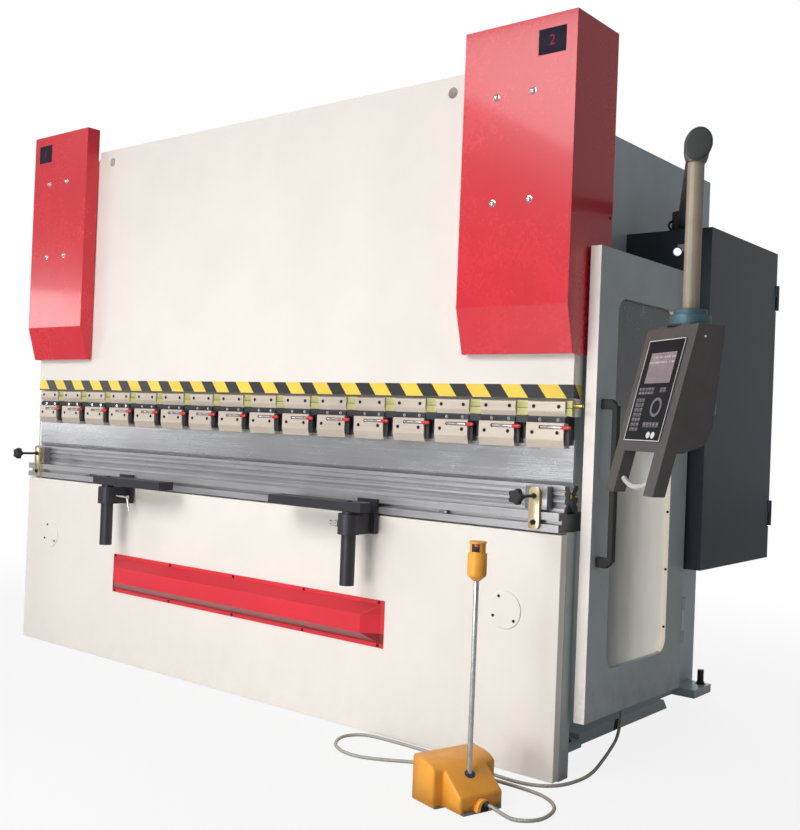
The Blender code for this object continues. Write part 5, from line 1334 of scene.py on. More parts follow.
@dataclass
class ToolClamps:
    """Sixteen quick clamps: plates, tongues, screws, levers and zinc wedges."""

    count: int = 16
    pitch: float = 0.200
    width: float = 0.150
    foot: float = 1.125
    lower_top: float = 1.213
    upper_foot: float = 1.231
    upper_top: float = 1.288
    lower_front: float = -0.041
    upper_front: float = -0.036
    screw_offset: float = 0.050
    screw_radius: float = 0.0068
    lever_z: float = 1.1965
    back: float = -0.0103
    screw_heights: tuple[float, float] = (1.178, 1.268)
    set_screw: tuple = ((0, 0), (0.0072, 0), (0.0072, 0.0016), (0.0056, 0.0016), (0.0052, 0.0004),
                        (0, 0.0004))
    cap: tuple = ((0, 0), (0.0062, 0), (0.0070, 0.001), (0.0070, 0.026), (0.0056, 0.0325), (0.003, 0.035),
                  (0, 0.0355))
    wedge_end: float = 1.5985
    wedge_layers: tuple = ((-0.0290, 1.2630, 1.2885), (-0.0300, 1.2360, 1.2615))

    def middles(self) -> list[float]:
        """The clamps' middles along the bending line."""
        return [(index - (self.count - 1) / 2) * self.pitch for index in range(self.count)]

    def plates(self) -> bpy.types.Object:
        """Lower and upper clamping plates with their slopes.

        Returns:
            The piece.
        """
        lower = [(self.lower_front, self.foot + 0.028), (self.lower_front + 0.0095, self.foot),
                 (self.back, self.foot), (self.back, self.lower_top),
                 (self.lower_front + 0.003, self.lower_top), (self.lower_front, self.lower_top - 0.003)]
        upper = [(self.upper_front, self.upper_foot + 0.021), (self.upper_front + 0.0095, self.upper_foot),
                 (self.back, self.upper_foot), (self.back, self.upper_top),
                 (self.upper_front + 0.006, self.upper_top), (self.upper_front, self.upper_top - 0.004)]
        form = Form()
        for middle in self.middles():
            for outline in (lower, upper):
                form.slab(outline, "X", middle - self.width / 2, middle + self.width / 2, 0.0009)
        return form.piece("clamp_plates", Look.CLAMP, "ram", "clamp_steel", 12.0)

    def backing(self) -> bpy.types.Object:
        """The bar behind the punch that joins the row.

        Returns:
            The piece.
        """
        reach = (self.count - 1) * self.pitch / 2 + self.width / 2
        outline = [(0.0103, self.foot), (0.032, self.foot), (0.032, 1.2347), (-0.0280, 1.2347),
                   (-0.0280, 1.2100), (-0.0100, 1.2100), (-0.0100, 1.1553), (0.0103, 1.1553)]
        form = Form().slab(outline, "X", -reach, reach, 0.0006)
        return form.piece("clamp_backing", Look.OXIDE, "ram", "black_oxide", 25.0, ["tool_clamps"])

    def tongues(self) -> bpy.types.Object:
        """Black blocks in the band between the plates and beside each clamp.

        Returns:
            The piece.
        """
        form = Form()
        for middle in self.middles():
            half = self.width / 2
            form.box((middle - half + 0.001, -0.0335, self.lower_top + 0.0004),
                     (middle + half - 0.001, -0.0102, self.upper_foot - 0.0004), bevel=0.0006)
            if middle < self.middles()[-1] + 0.01:
                form.box((middle + half + 0.001, -0.0330, self.foot + 0.012),
                         (middle + half + 0.018, -0.0102, self.lower_top - 0.014), bevel=0.001)
        return form.piece("clamp_tongues", Look.OXIDE, "ram", "black_oxide")

    def wedges(self) -> bpy.types.Object:
        """Zinc wedge bars seen between the upper plates, with the end past the last clamp.

        Returns:
            The piece.
        """
        form = Form()
        rear = -0.0102
        for index, middle in enumerate(self.middles()):
            start = middle + self.width / 2 + 0.0015
            stop = start + self.pitch - self.width - 0.003
            if index == self.count - 1:
                stop = self.wedge_end
            for front, low, high in self.wedge_layers:
                form.box((start, front, low), (stop, rear, high), bevel=0.0007)
        return form.piece("wedge_bars", Look.ZINC, "ram", "yellow_zinc")

    def screws(self) -> list[bpy.types.Object]:
        """Socket screws in the plates and bright set screws in the tongues.

        Returns:
            The pieces.
        """
        dark, bright = Form(), Form()
        for middle in self.middles():
            for side in (-1, 1):
                across = middle + side * self.screw_offset
                for front, up in zip((self.lower_front, self.upper_front), self.screw_heights):
                    dark.cap_screw((across, front - 0.0002, up), FRONT, self.screw_radius, 0.0016)
                at = middle + side * 0.036 + 0.012
                bright.lathe(self.set_screw, (at, -0.0335, 1.2222), FRONT, 18)
        return [dark.piece("clamp_screws", Look.SCREW, "ram"), bright.piece("set_screws", Look.CHROME, "ram")]

    def levers(self) -> list[bpy.types.Object]:
        """Chrome lever pins in their slots, with red caps over the gaps; the slots are dark sheets of painted
        shade.

        Returns:
            The pieces.
        """
        pins, caps, slots = Form(), Form(), Form()
        for middle in self.middles():
            left = middle - 0.018
            right = middle + self.width / 2 - 0.004
            deep = self.lower_front
            pin = deep - 0.0030
            up = self.lever_z
            # Painted shade: thin dark sheets on the plate's face stand for the slots.
            slots.rod((left, deep + 0.0002, up), (left, deep - 0.0006, up), 0.0066, sides=20)
            slots.box((left, deep - 0.0005, up - 0.0050), (right, deep + 0.0002, up + 0.0062))
            pins.rod((left + 0.003, pin, up), (right, pin, up), 0.0042, sides=16, bevel=0.0006)
            caps.lathe(self.cap, (right - 0.001, pin, up), RIGHT, 20)
        return [pins.piece("lever_pins", Look.CHROME, "ram"), caps.piece("lever_caps", Look.RED_CAP, "ram"),
                slots.piece("lever_slot_shade", Look.SCREW, "ram")]

    def build(self) -> list[bpy.types.Object]:
        """Make the whole row.

        Returns:
            The new pieces.
        """
        made = [self.backing(), self.plates(), self.tongues(), self.wedges()]
        rod = Form().rod((self.wedge_end, -0.020, 1.2710), (1.6340, -0.020, 1.2710), 0.0070, sides=20,
                         bevel=0.001)
        made.append(rod.piece("wedge_rod", Look.BRASS, "ram"))
        return made + self.screws() + self.levers()


@dataclass
class Tooling:
    """Punch, grooved die and rail, with the stops in the rail's slot and the die's end fittings."""

    stops: tuple[float, ...] = (-1.073, 1.107)
    fittings: tuple = ((-0.0072, 0.962, 0.0078), (0.0290, 0.961, 0.0052))
    notch: tuple = ((-0.0128, 0.9383), (-0.0330, 0.9110), (0.0040, 0.9110))

    def build(self) -> list[bpy.types.Object]:
        """Dress the tools and set the stops in the slot.

        Returns:
            The new pieces.
        """
        dress("punch", Look.BRIGHT)
        round_edges("grooved_die", Look.RAIL, 0.0007)
        round_edges("die_rail", Look.RAIL, 0.0007)
        form = Form()
        for place in self.stops:
            form.box((place - 0.017, -0.0795, 0.8692), (place + 0.017, -0.0700, 0.8806), bevel=0.0008)
            form.cap_screw((place, -0.0795, 0.8749), FRONT, 0.0042, 0.002)
        made = [form.piece("slot_stops", Look.PLAIN, "machine", "ground_steel")]
        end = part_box("grooved_die")[1][0]
        form = Form()
        for back, up, radius in self.fittings:
            profile = [(0, 0), (radius, 0), (radius, 0.003), (0.7 * radius, 0.0055), (0, 0.006)]
            form.lathe(profile, (end, back, up), RIGHT, 20)
        made.append(form.piece("die_end_fittings", Look.BRASS, "machine"))
        # The die end's notch: a dark sheet of painted shade.
        notch = Form().slab(self.notch, "X", end - 0.0002, end + 0.0004)
        made.append(notch.piece("die_end_notch_shade", Look.RECESS, "machine"))
        return made


@dataclass
class Apron:
    """Bed, white apron, red panel and round hand-hole covers."""

    panel_screws: tuple[float, ...] = (-0.829, -0.424, -0.002, 0.420, 0.819)
    panel_screw_inset: float = 0.0085
    cover_screw_circle: float = 0.052
    cover_screw_turns: tuple[int, int, int] = (118, 208, 320)

    def build(self) -> list[bpy.types.Object]:
        """Dress the plates and add their screws.

        Returns:
            The new pieces.
        """
        dress("bed_plate", Look.GREY)
        round_edges("apron_plate", Look.WHITE, 0.0025)
        round_edges("apron_panel", Look.PANEL_RED, 0.0012)
        low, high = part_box("apron_panel")
        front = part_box("apron_plate")[0][1] - 0.003
        form = Form()
        for across in self.panel_screws:
            for up in (low[2] + self.panel_screw_inset, high[2] - self.panel_screw_inset):
                form.cap_screw((across, front, up), FRONT, 0.0066, 0.0024)
        made = [form.piece("panel_screws", Look.SCREW, "machine")]
        for label, side in SIDES:
            node = f"round_cover_{label}"
            low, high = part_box(node)
            middle = ((low[0] + high[0]) / 2, (low[2] + high[2]) / 2)
            radius = (high[0] - low[0]) / 2
            deep = high[1] - low[1]
            profile = [(0, 0), (radius, 0), (radius, 0.7 * deep), (radius - 0.001, deep), (0, deep)]
            form = Form().lathe(profile, (middle[0], high[1], middle[1]), FRONT, 64)
            made.append(form.piece(f"hand_cover_{label}", Look.WHITE, "machine", "warm_white", 35.0, [node]))
            form = Form()
            for degrees in self.cover_screw_turns:
                turn = math.radians(degrees)
                at = (middle[0] + self.cover_screw_circle * math.cos(turn), low[1] - 0.0001,
                      middle[1] + self.cover_screw_circle * math.sin(turn))
                form.cap_screw(at, FRONT, 0.0055, 0.0018)
            made.append(form.piece(f"hand_cover_screws_{label}", Look.SCREW, "machine"))
        return made


@dataclass
class EndClamps:
    """Zinc clamp strips with their blocks, rods and star knobs at both ends of the die."""

    reach: float = 1.500
    axis: float = 0.962
    face: float = -0.0923
    strip_back: float = -0.0803
    strip_ends: tuple[float, float] = (0.8627, 0.9773)
    strip_half: float = 0.0063
    corner: float = 0.0147
    bolt_height: float = 0.872
    lobes: int = 5
    knob_radius: float = 0.0245
    lobe_rise: float = 0.0035
    knob_ends: tuple[float, float] = (-0.2157, -0.1900)
    neck: tuple = ((0, 0), (0.011, 0), (0.014, 0.010), (0.014, 0.012), (0, 0.012))

    def strip(self, middle: float) -> Form:
        """The rounded zinc strip.

        Args:
            middle: X of the clamp's middle.

        Returns:
            Its form.
        """
        foot, top = self.strip_ends
        outline = []
        for turn in range(4):
            across = middle + (self.strip_half if turn in (0, 3) else -self.strip_half)
            up = top if turn < 2 else foot
            for step in range(5):
                angle = math.radians(90 * turn + 22.5 * step)
                outline.append((across + self.corner * math.cos(angle), up + self.corner * math.sin(angle)))
        return Form().slab(outline, "Y", self.face, self.strip_back, 0.0008, angle=60)

    def knob(self, middle: float) -> Form:
        """The black star knob.

        Args:
            middle: X of the clamp's middle.

        Returns:
            Its form.
        """
        outline = []
        for step in range(60):
            angle = 2 * math.pi * step / 60
            radius = self.knob_radius + self.lobe_rise * math.cos(self.lobes * angle)
            outline.append((middle + radius * math.cos(angle), self.axis + radius * math.sin(angle)))
        form = Form().slab(outline, "Y", *self.knob_ends, 0.0035, angle=50)
        return form.lathe(self.neck, (middle, -0.180, self.axis), FRONT, 24)

    def build(self) -> list[bpy.types.Object]:
        """Make both clamps.

        Returns:
            The new pieces.
        """
        made = []
        for label, side in SIDES:
            middle = side * self.reach
            axis = self.axis
            block = Form().box((middle - 0.044, -0.0802, 0.9155), (middle + 0.044, -0.0455, 0.995),
                               bevel=0.0015)
            rod = Form().rod((middle, -0.0920, axis), (middle, -0.1880, axis), 0.006, sides=20)
            rod.rod((middle, self.face, axis), (middle, -0.0990, axis), 0.0105, sides=6, bevel=0.0006)
            bolt = Form().cap_screw((middle, self.face, self.bolt_height), FRONT, 0.0092, 0.0075)
            for name, form, look, *rest in (
                    ("clamp_block", block, Look.PLAIN, "ground_steel", 35.0, [f"end_clamp_{label}"]),
                    ("clamp_strip", self.strip(middle), Look.ZINC_PALE, "yellow_zinc"),
                    ("clamp_rod", rod, Look.OXIDE),
                    ("star_knob", self.knob(middle), Look.PLASTIC, "black_plastic"),
                    ("clamp_bolt", bolt, Look.SCREW)):
                made.append(form.piece(f"{name}_{label}", look, "machine", *rest))
        return made


@dataclass
class CylinderCovers:
    """Red covers with dome screws and plain number plates."""

    screw_places: tuple = ((0.142, 2.3485), (0.293, 2.3485), (0.142, 1.9745), (0.293, 1.9745))
    plate: tuple[float, float, float, float] = (1.513, 2.509, 0.108, 0.088)
    side_screw: tuple[float, float] = (0.166, 1.9425)
    figure_size: float = 0.052
    figure_rise: float = 0.0003

    def number(self, label: str, text: str, at: tuple[float, float], front: float) -> bpy.types.Object:
        """A single printed figure on the plate.

        Args:
            label: The cover's side.
            text: The figure.
            at: X and Z of its middle.
            front: Y of the plate's face.

        Returns:
            The raised figure.
        """
        curve = bpy.data.curves.new(f"figure_{label}", "FONT")
        curve.body = text
        curve.size = self.figure_size
        curve.align_x = "CENTER"
        curve.align_y = "CENTER"
        holder = bpy.data.objects.new("figure_source", curve)
        bpy.context.scene.collection.objects.link(holder)
        bpy.context.view_layer.update()
        data = bpy.data.meshes.new_from_object(holder.evaluated_get(bpy.context.evaluated_depsgraph_get()))
        bpy.data.objects.remove(holder)
        form = Form()
        form.mesh.from_mesh(data)
        drawn = bmesh.ops.extrude_face_region(form.mesh, geom=form.mesh.faces[:])["geom"]
        raised = [part for part in drawn if isinstance(part, bmesh.types.BMVert)]
        bmesh.ops.translate(form.mesh, vec=(0, 0, self.figure_rise), verts=raised)
        bmesh.ops.recalc_face_normals(form.mesh, faces=form.mesh.faces[:])
        place = Matrix.Translation((at[0], front, at[1])) @ Matrix.Rotation(math.radians(90), 4, "X")
        bmesh.ops.transform(form.mesh, matrix=place, verts=form.mesh.verts[:])
        return form.piece(f"figure_{label}", Look.FIGURE, "machine")

    def build(self) -> list[bpy.types.Object]:
        """Dress both covers and fix their screws and plates.

        Returns:
            The new pieces.
        """
        made = []
        for (label, side), text in zip(SIDES, ("1", "2")):
            node = f"cylinder_cover_{label}"
            round_edges(node, Look.RED, 0.002)
            low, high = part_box(node)
            left, front = low[0], low[1]
            outer = high[0] if side > 0 else low[0]
            form = Form()
            for across, up in self.screw_places:
                form.dome_screw((left + across, front, up), FRONT, 0.0105, 0.011)
            made.append(form.piece(f"cover_screws_{label}", Look.CHROME, "machine", "bright_chrome"))
            across, up, wide, tall = self.plate
            middle = side * across
            plate = Form().box((middle - wide / 2, front - 0.0012, up - tall / 2),
                               (middle + wide / 2, front - 0.0001, up + tall / 2), bevel=0.0004)
            made.append(plate.piece(f"number_plate_{label}", Look.PLATE, "machine"))
            made.append(self.number(label, text, (middle, up), front - 0.0012))
            hole = Form().cap_screw((outer, *self.side_screw), (side, 0, 0), 0.006, 0.0014)
            made.append(hole.piece(f"cover_side_screw_{label}", Look.SCREW, "machine"))
        return made


@dataclass
class SideFrames:
    """Side plates with their guides, cylinders, rods, levelling studs, and dark sheets of painted shade in
    the sill's slots.
    """

    studs: tuple = ((1.5515, 0.037, 0.0145, 0.066), (0.324, 0.027, 0.012, 0.030))
    stud_reach: float = 1.423
    sill: float = 1.4453
    slot: tuple = ((0.656, 0.003), (0.689, 0.003), (0.703, 0.0448), (0.669, 0.0448))

    def build(self) -> list[bpy.types.Object]:
        """Dress them and add bolts.

        Returns:
            The new pieces.
        """
        made = []
        for label, side in SIDES:
            round_edges(f"side_frame_{label}", Look.FRAME, 0.002)
            dress(f"ram_guide_{label}", Look.RAIL)
            dress(f"cylinder_{label}", Look.BLACK)
            dress(f"piston_rod_{label}", Look.CHROME)
            form = Form()
            for back, top, radius, length in self.studs:
                across = side * self.stud_reach
                form.hex_bolt((across, back, top), UP, 1.25 * radius, 0.010)
                form.rod((across, back, top + 0.012), (across, back, top + length), radius, sides=28,
                         bevel=0.0012)
            made.append(form.piece(f"levelling_studs_{label}", Look.BLACK, "machine"))
            sill = self.sill * side
            # The sill's slot: a dark sheet of painted shade.
            slot = Form().slab(self.slot, "X", *sorted((sill - side * 0.0006, sill)))
            made.append(slot.piece(f"sill_slot_shade_{label}", Look.RECESS, "machine"))
        return made


@dataclass
class Rear:
    """Tank, pump motor, tie plate and back gauge behind the machine."""

    filler: tuple = ((0, 0), (0.034, 0), (0.034, 0.006), (0.028, 0.008), (0.028, 0.040), (0.024, 0.046),
                     (0, 0.046))
    filler_across: float = 0.35

    def build(self) -> list[bpy.types.Object]:
        """Dress them and add the tank's small fittings.

        Returns:
            The new pieces.
        """
        round_edges("oil_tank", Look.GREY, 0.004)
        dress("pump_motor", Look.BLACK)
        round_edges("tie_plate", Look.GREY, 0.002)
        round_edges("gauge_beam", Look.GREY, 0.003)
        for label, _ in SIDES:
            round_edges(f"gauge_slide_{label}", Look.RAIL, 0.0015)
            round_edges(f"gauge_finger_{label}", Look.PLAIN, 0.0015)
        low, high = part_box("oil_tank")
        form = Form().lathe(self.filler, (self.filler_across, (low[1] + high[1]) / 2, high[2]), UP, 32)
        made = [form.piece("filler_cap", Look.PLASTIC, "machine")]
        form = Form().box((0.62, high[1], low[2] + 0.10), (0.66, high[1] + 0.010, low[2] + 0.34), bevel=0.003)
        made.append(form.piece("level_gauge", Look.PLATE, "machine"))
        return made


@dataclass
class Supports:
    """Front supports with their clamp lever, rods and bar bolts."""

    reach: float = 0.753
    boss: tuple[float, float] = (-0.124, 0.7955)
    arms: tuple = ((0.020, -0.070, 0.010), (0.020, 0.006, -0.068))
    arm_radii: tuple[float, ...] = (0.0046, 0.0050, 0.0046, 0.0026)
    rods: tuple = ((0.8085, 0.0036), (0.7955, 0.0042))
    rod_back: float = -0.200

    def lever(self, face: float, side: int, boss: tuple[float, float],
              ends: Sequence[tuple[float, float, float]]) -> Form:
        """A chrome boss on a bracket's side with two thin arms.

        Args:
            face: X of the bracket's side.
            side: Which way the boss points along X.
            boss: Its Y and Z.
            ends: The arms' ends, from the boss.

        Returns:
            The lever's form.
        """
        foot = Vector((face, *boss))
        form = Form().rod(foot, foot + Vector((side * 0.014, 0, 0)), 0.0095, sides=24, bevel=0.0015)
        start = foot + Vector((side * 0.009, 0, 0))
        for end in ends:
            stop = foot + Vector(end)
            line = [start, start.lerp(stop, 0.25), start.lerp(stop, 0.6), stop]
            form.tube(line, self.arm_radii, 14)
        return form

    def build(self) -> list[bpy.types.Object]:
        """Dress brackets, posts and bars and add the levers.

        Returns:
            The new pieces.
        """
        made = []
        for label, side in SIDES:
            round_edges(f"support_bracket_{label}", Look.OXIDE, 0.0012)
            dress(f"support_post_{label}", Look.OXIDE)
            round_edges(f"support_bar_{label}", Look.OXIDE, 0.0015)
            middle = side * self.reach
            body = f"{label}_support"
            if side < 0:
                form = self.lever(-0.703, 1, self.boss, self.arms)
            else:
                form = Form()
                for up, radius in self.rods:
                    root = (0.7035, self.rod_back, up)
                    form.rod(root, (0.661, self.rod_back, up - 0.001), radius, sides=20, bevel=0.0015)
                    form.rod(root, (0.690, self.rod_back, up), 1.5 * radius, sides=20, bevel=0.001)
            made.append(form.piece(f"clamp_lever_{label}", Look.CHROME, body, "bright_chrome"))
            cap = Form().cap_screw((middle, -0.190, 0.8885), UP, 0.011, 0.004)
            made.append(cap.piece(f"bar_screw_{label}", Look.SCREW, f"{label}_bar"))
        return made


@dataclass
class Doors:
    """Side guard doors with frosted windows, handles and their screws."""

    handle_screw: tuple[float, float] = (0.069, 0.0175)
    window_edge: tuple[float, float] = (1.6515, 0.6357)
    window_screws: tuple[float, ...] = tuple(0.4500 + 0.2200 * step for step in range(6))

    def build(self) -> list[bpy.types.Object]:
        """Dress both doors and add the window screws and handle screws.

        Returns:
            The new pieces.
        """
        made = []
        for label, side in SIDES:
            body = f"{label}_door"
            round_edges(f"side_door_{label}", Look.DOOR, 0.0015)
            dress(f"door_window_{label}", Look.WINDOW)
            round_edges(f"door_handle_{label}", Look.PLASTIC, 0.003)
            low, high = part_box(f"door_handle_{label}")
            outer = low[0] if side < 0 else high[0]
            form = Form()
            back, inset = self.handle_screw
            for up in (low[2] + inset, high[2] - inset):
                form.cap_screw((side * (abs(outer) - 0.0012), back, up), (side, 0, 0), 0.0055, 0.0015)
            made.append(form.piece(f"handle_screws_{label}", Look.PLAIN, body))
            form = Form()
            across, back = self.window_edge
            for up in self.window_screws:
                form.cap_screw((side * across, back, up), FRONT, 0.0050, 0.0022)
            made.append(form.piece(f"window_screws_{label}", Look.SCREW, body))
        return made


@dataclass
class Cabinet:
    """Electrical cabinet with its lamp, pull and lifting eye."""

    lamp_place: tuple[float, float] = (1.579, 1.920)
    lens: tuple = ((0, 0), (0.015, 0), (0.015, 0.008), (0.013, 0.014), (0.008, 0.0175), (0, 0.0185))
    ring: tuple = ((0.0152, 0), (0.020, 0), (0.020, 0.005), (0.0152, 0.005), (0.0152, 0))
    eye: tuple[float, float] = (1.530, 0.845)
    eye_radius: float = 0.016

    def build(self) -> list[bpy.types.Object]:
        """Dress the cabinet and add its fittings.

        Returns:
            The new pieces.
        """
        round_edges("cabinet_body", Look.CABINET, 0.0015)
        round_edges("cabinet_door", Look.CABINET, 0.002)
        round_edges("gear_plate", Look.GREY, 0.001)
        low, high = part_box("cabinet_body")
        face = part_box("cabinet_door")[1][0]
        across, up = self.lamp_place
        made = [Form().lathe(profile, (across, low[1], up), FRONT, 28).piece(name, look, "machine")
                for name, look, profile in (("signal_lamp", Look.LAMP, self.lens),
                                            ("lamp_ring", Look.CHROME, self.ring))]
        mount = Form().box((1.578, low[1] - 0.005, 1.923), (1.608, low[1], 1.950), bevel=0.0015)
        made.append(mount.piece("lamp_mount", Look.GRIP, "machine"))
        pull = Form().box((face, 0.840, 1.270), (face + 0.006, 0.862, 1.392), bevel=0.002)
        pull.rod((face + 0.005, 0.851, 1.300), (face + 0.009, 0.851, 1.300), 0.006, sides=20)
        made.append(pull.piece("door_pull", Look.PLAIN, "cabinet_leaf"))
        across, back = self.eye
        eye = Form().rod((*self.eye, high[2]), (*self.eye, high[2] + 0.012), 0.012, sides=24, bevel=0.002)
        line = [Vector((across + self.eye_radius * math.cos(turn), back,
                        high[2] + 0.030 + self.eye_radius * math.sin(turn)))
                for turn in (2 * math.pi * step / 28 - math.pi / 2 for step in range(29))]
        eye.tube(line, 0.0045, 12)
        made.append(eye.piece("lifting_eye", Look.BLACK, "machine"))
        return made


@dataclass
class PendantArm:
    """Flange, boom with its oval elbow, and the champagne tube."""

    base: tuple[float, float] = (1.560, 0.880)
    tube: tuple[float, float] = (2.121, -0.282)
    middle: float = 2.0265
    half: tuple[float, float] = (0.040, 0.0485)
    shell: tuple = ((-0.0400, 0.56), (-0.0390, 0.66), (-0.0350, 0.75), (-0.0280, 0.83), (-0.0200, 0.88),
                    (-0.0100, 0.905), (0.0, 0.915), (0.0250, 0.915))
    cap: tuple = ((0.0245, 0.955), (0.0265, 0.985), (0.0310, 1.0), (0.0345, 0.985), (0.0375, 0.93),
                  (0.0395, 0.86), (0.0400, 0.80))
    neck: tuple = ((0, 0), (0.0275, 0), (0.029, 0.0015), (0.0335, 0.014), (0.036, 0.027), (0.036, 0.062),
                   (0, 0.062))
    boom_axis: float = 2.045
    boom_radius: float = 0.024
    tube_radius: float = 0.024
    flange_radius: float = 0.060
    flange_circle: float = 0.051

    def oval(self, rings: Sequence[tuple[float, float]]) -> Form:
        """A shape of leaning ovals that stand across the boom.

        Args:
            rings: How far along the boom each oval stands from the tube, and its share of the full size.

        Returns:
            The form.
        """
        along = Vector((self.tube[0] - self.base[0], self.tube[1] - self.base[1], 0)).normalized()
        across = Vector(UP).cross(along)
        wide, tall = self.half
        frames = []
        for reach, share in rings:
            centre = Vector((*self.tube, self.middle)) + across * 0.0035 * share + along * reach
            if share < 0.7:
                centre += Vector((0, 0, 0.002))
            lean = across * 0.0015 * share
            turn = Matrix((across * wide * share + Vector((0, 0, 0.003)), Vector((0, 0, tall * share)) + lean,
                           along))
            frames.append(Matrix.Translation(centre) @ turn.transposed().to_4x4())
        return Form().loft(frames, 40)

    def build(self) -> list[bpy.types.Object]:
        """Make the arm's round pieces.

        Returns:
            The new pieces.
        """
        low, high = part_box("arm_flange")
        foot = low[2]
        form = Form().rod((*self.base, foot), (*self.base, high[2]), self.flange_radius, sides=48,
                          bevel=0.001)
        for step in range(4):
            turn = math.radians(45 + 90 * step)
            at = (self.base[0] + self.flange_circle * math.cos(turn),
                  self.base[1] + self.flange_circle * math.sin(turn), high[2])
            form.cap_screw(at, UP, 0.0045, 0.0025)
        made = [form.piece("flange", Look.BLACK, "machine", "black_paint", 35.0, ["arm_flange"])]
        top = self.boom_axis
        form = Form().rod((*self.base, foot + 0.0066), (*self.base, top + 0.050), 0.045, sides=48,
                          bevel=0.006)
        form.rod((*self.base, top), (*self.tube, top), self.boom_radius, sides=32)
        made.append(form.piece("boom", Look.HOUSING, "arm", "pendant_grey", 40.0, ["arm_boom"]))
        form = self.oval(self.shell)
        form.lathe(self.neck, (*self.tube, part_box("arm_boom")[0][2]), UP, 48)
        made.append(form.piece("elbow", Look.SHELL, "arm", "pendant_grey", 50.0))
        made.append(self.oval(self.cap).piece("elbow_cap", Look.CAP, "arm", "pendant_grey", 50.0))
        low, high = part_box("arm_tube")
        form = Form().rod((*self.tube, low[2]), (*self.tube, high[2]), self.tube_radius, sides=48,
                          bevel=0.0008)
        made.append(form.piece("hanging_tube", Look.CHAMPAGNE, "arm", "champagne", 35.0, ["arm_tube"]))
        return made


@dataclass
class Pendant:
    """Control pendant with its collar, membrane panel and grip."""

    tube: tuple[float, float] = (2.121, -0.282)
    top: float = 1.4997
    yaw: float = math.radians(-34)
    tilt: float = math.radians(14.5)
    front: float = -0.058
    half: float = 0.098
    head: float = -0.040
    foot: float = -0.344
    skin: float = -0.0031
    line_width: float = 0.0022
    key_blocks: tuple = (((-0.084, -0.206), (0.000, -0.184), 5, 2), ((0.030, -0.202), (0.064, -0.184), 2, 1),
                         ((-0.084, -0.318), (-0.036, -0.216), 3, 7),
                         ((-0.014, -0.306), (0.072, -0.286), 5, 1))
    dots: tuple[float, float] = (0.0310, 0.0560)
    dot: tuple = ((0, 0), (0.0098, 0), (0.0094, 0.0010), (0, 0.0012))
    dial: tuple = ((0.0205, 0), (0.0285, 0), (0.0285, 0.0008), (0.0205, 0.0008), (0.0205, 0))
    cap: tuple = ((0, 0), (0.0655, 0), (0.0665, 0.0015), (0.0655, 0.0055), (0, 0.0055))

    def face(self) -> Matrix:
        """Frame of the slanted face: X across, Z up, Y into the housing."""
        place = Matrix.Translation((*self.tube, self.top)) @ Matrix.Rotation(self.yaw, 4, "Z")
        return place @ Matrix.Translation((0, self.front, 0)) @ Matrix.Rotation(-self.tilt, 4, "X")

    def collar(self) -> bpy.types.Object:
        """The teal swivel collar.

        Returns:
            The collar.
        """
        low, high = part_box("pendant_collar")
        rise = high[2] - low[2]
        profile = [(0, 0), (0.0575, 0), (0.059, 0.0015), (0.059, rise - 0.0175), (0.0575, rise - 0.015),
                   (0.049, rise - 0.015), (0.049, rise - 0.0015), (0.0475, rise), (0, rise)]
        form = Form().lathe(profile, (*self.tube, low[2]), UP, 56)
        return form.piece("collar", Look.TEAL, "pendant", "teal_paint", 35.0, ["pendant_collar"])

    def keys(self, form: Form, low: tuple[float, float], high: tuple[float, float], columns: int,
             rows: int) -> None:
        """A block of small keys on the panel's face.

        Args:
            form: Where they are added.
            low: Lower left corner on the face.
            high: Upper right corner.
            columns: Keys across.
            rows: Keys up.
        """
        face = self.face()
        wide = (high[0] - low[0]) / columns
        tall = (high[1] - low[1]) / rows
        for column in range(columns):
            for row in range(rows):
                left = low[0] + wide * column
                foot = low[1] + tall * row
                form.box((left + 0.12 * wide, -0.0037, foot + 0.12 * tall),
                         (left + 0.88 * wide, -0.0029, foot + 0.88 * tall), face)

    def build(self) -> list[bpy.types.Object]:
        """Make the pendant's details.

        Returns:
            The new pieces.
        """
        round_edges("pendant_housing", Look.HOUSING, 0.003)
        dress("pendant_screen", Look.PANEL)
        made = [self.collar()]
        form = Form().lathe(self.cap, (*self.tube, self.top - 0.0005), UP, 56)
        made.append(form.piece("cap_plate", Look.PLASTIC, "pendant"))
        face = self.face()
        skin = self.skin
        form = Form()
        edge = self.line_width
        for low, high in (((-self.half, self.foot), (self.half, self.foot + edge)),
                          ((-self.half, self.head - edge), (self.half, self.head)),
                          ((-self.half, self.foot), (-self.half + edge, self.head)),
                          ((self.half - edge, self.foot), (self.half, self.head))):
            form.box((low[0], skin - 0.0008, low[1]), (high[0], skin + 0.0004, high[1]), face)
        for across in self.dots:
            form.lathe(self.dot, (across, skin, -0.3265), FRONT, 28, face)
        made.append(form.piece("panel_border", Look.LINE, "pendant"))
        form = Form().box((-0.066, skin - 0.0005, -0.172), (0.070, skin + 0.0002, -0.080), face)
        made.append(form.piece("display", Look.DISPLAY, "pendant"))
        form = Form()
        for block in self.key_blocks:
            self.keys(form, *block)
        made.append(form.piece("membrane_keys", Look.KEYS, "pendant"))
        form = Form().lathe(self.dial, (0.0337, skin, -0.2440), FRONT, 40, face)
        made.append(form.piece("dial_ring", Look.DIAL, "pendant"))
        dress("pendant_grip", Look.GRIP)
        form = Form().cap_screw((0, 0, 0), RIGHT, 0.004, 0.0014,
                                face @ Matrix.Translation((0.1355, 0.030, -0.030)))
        made.append(form.piece("housing_screw", Look.CHROME, "pendant"))
        return made


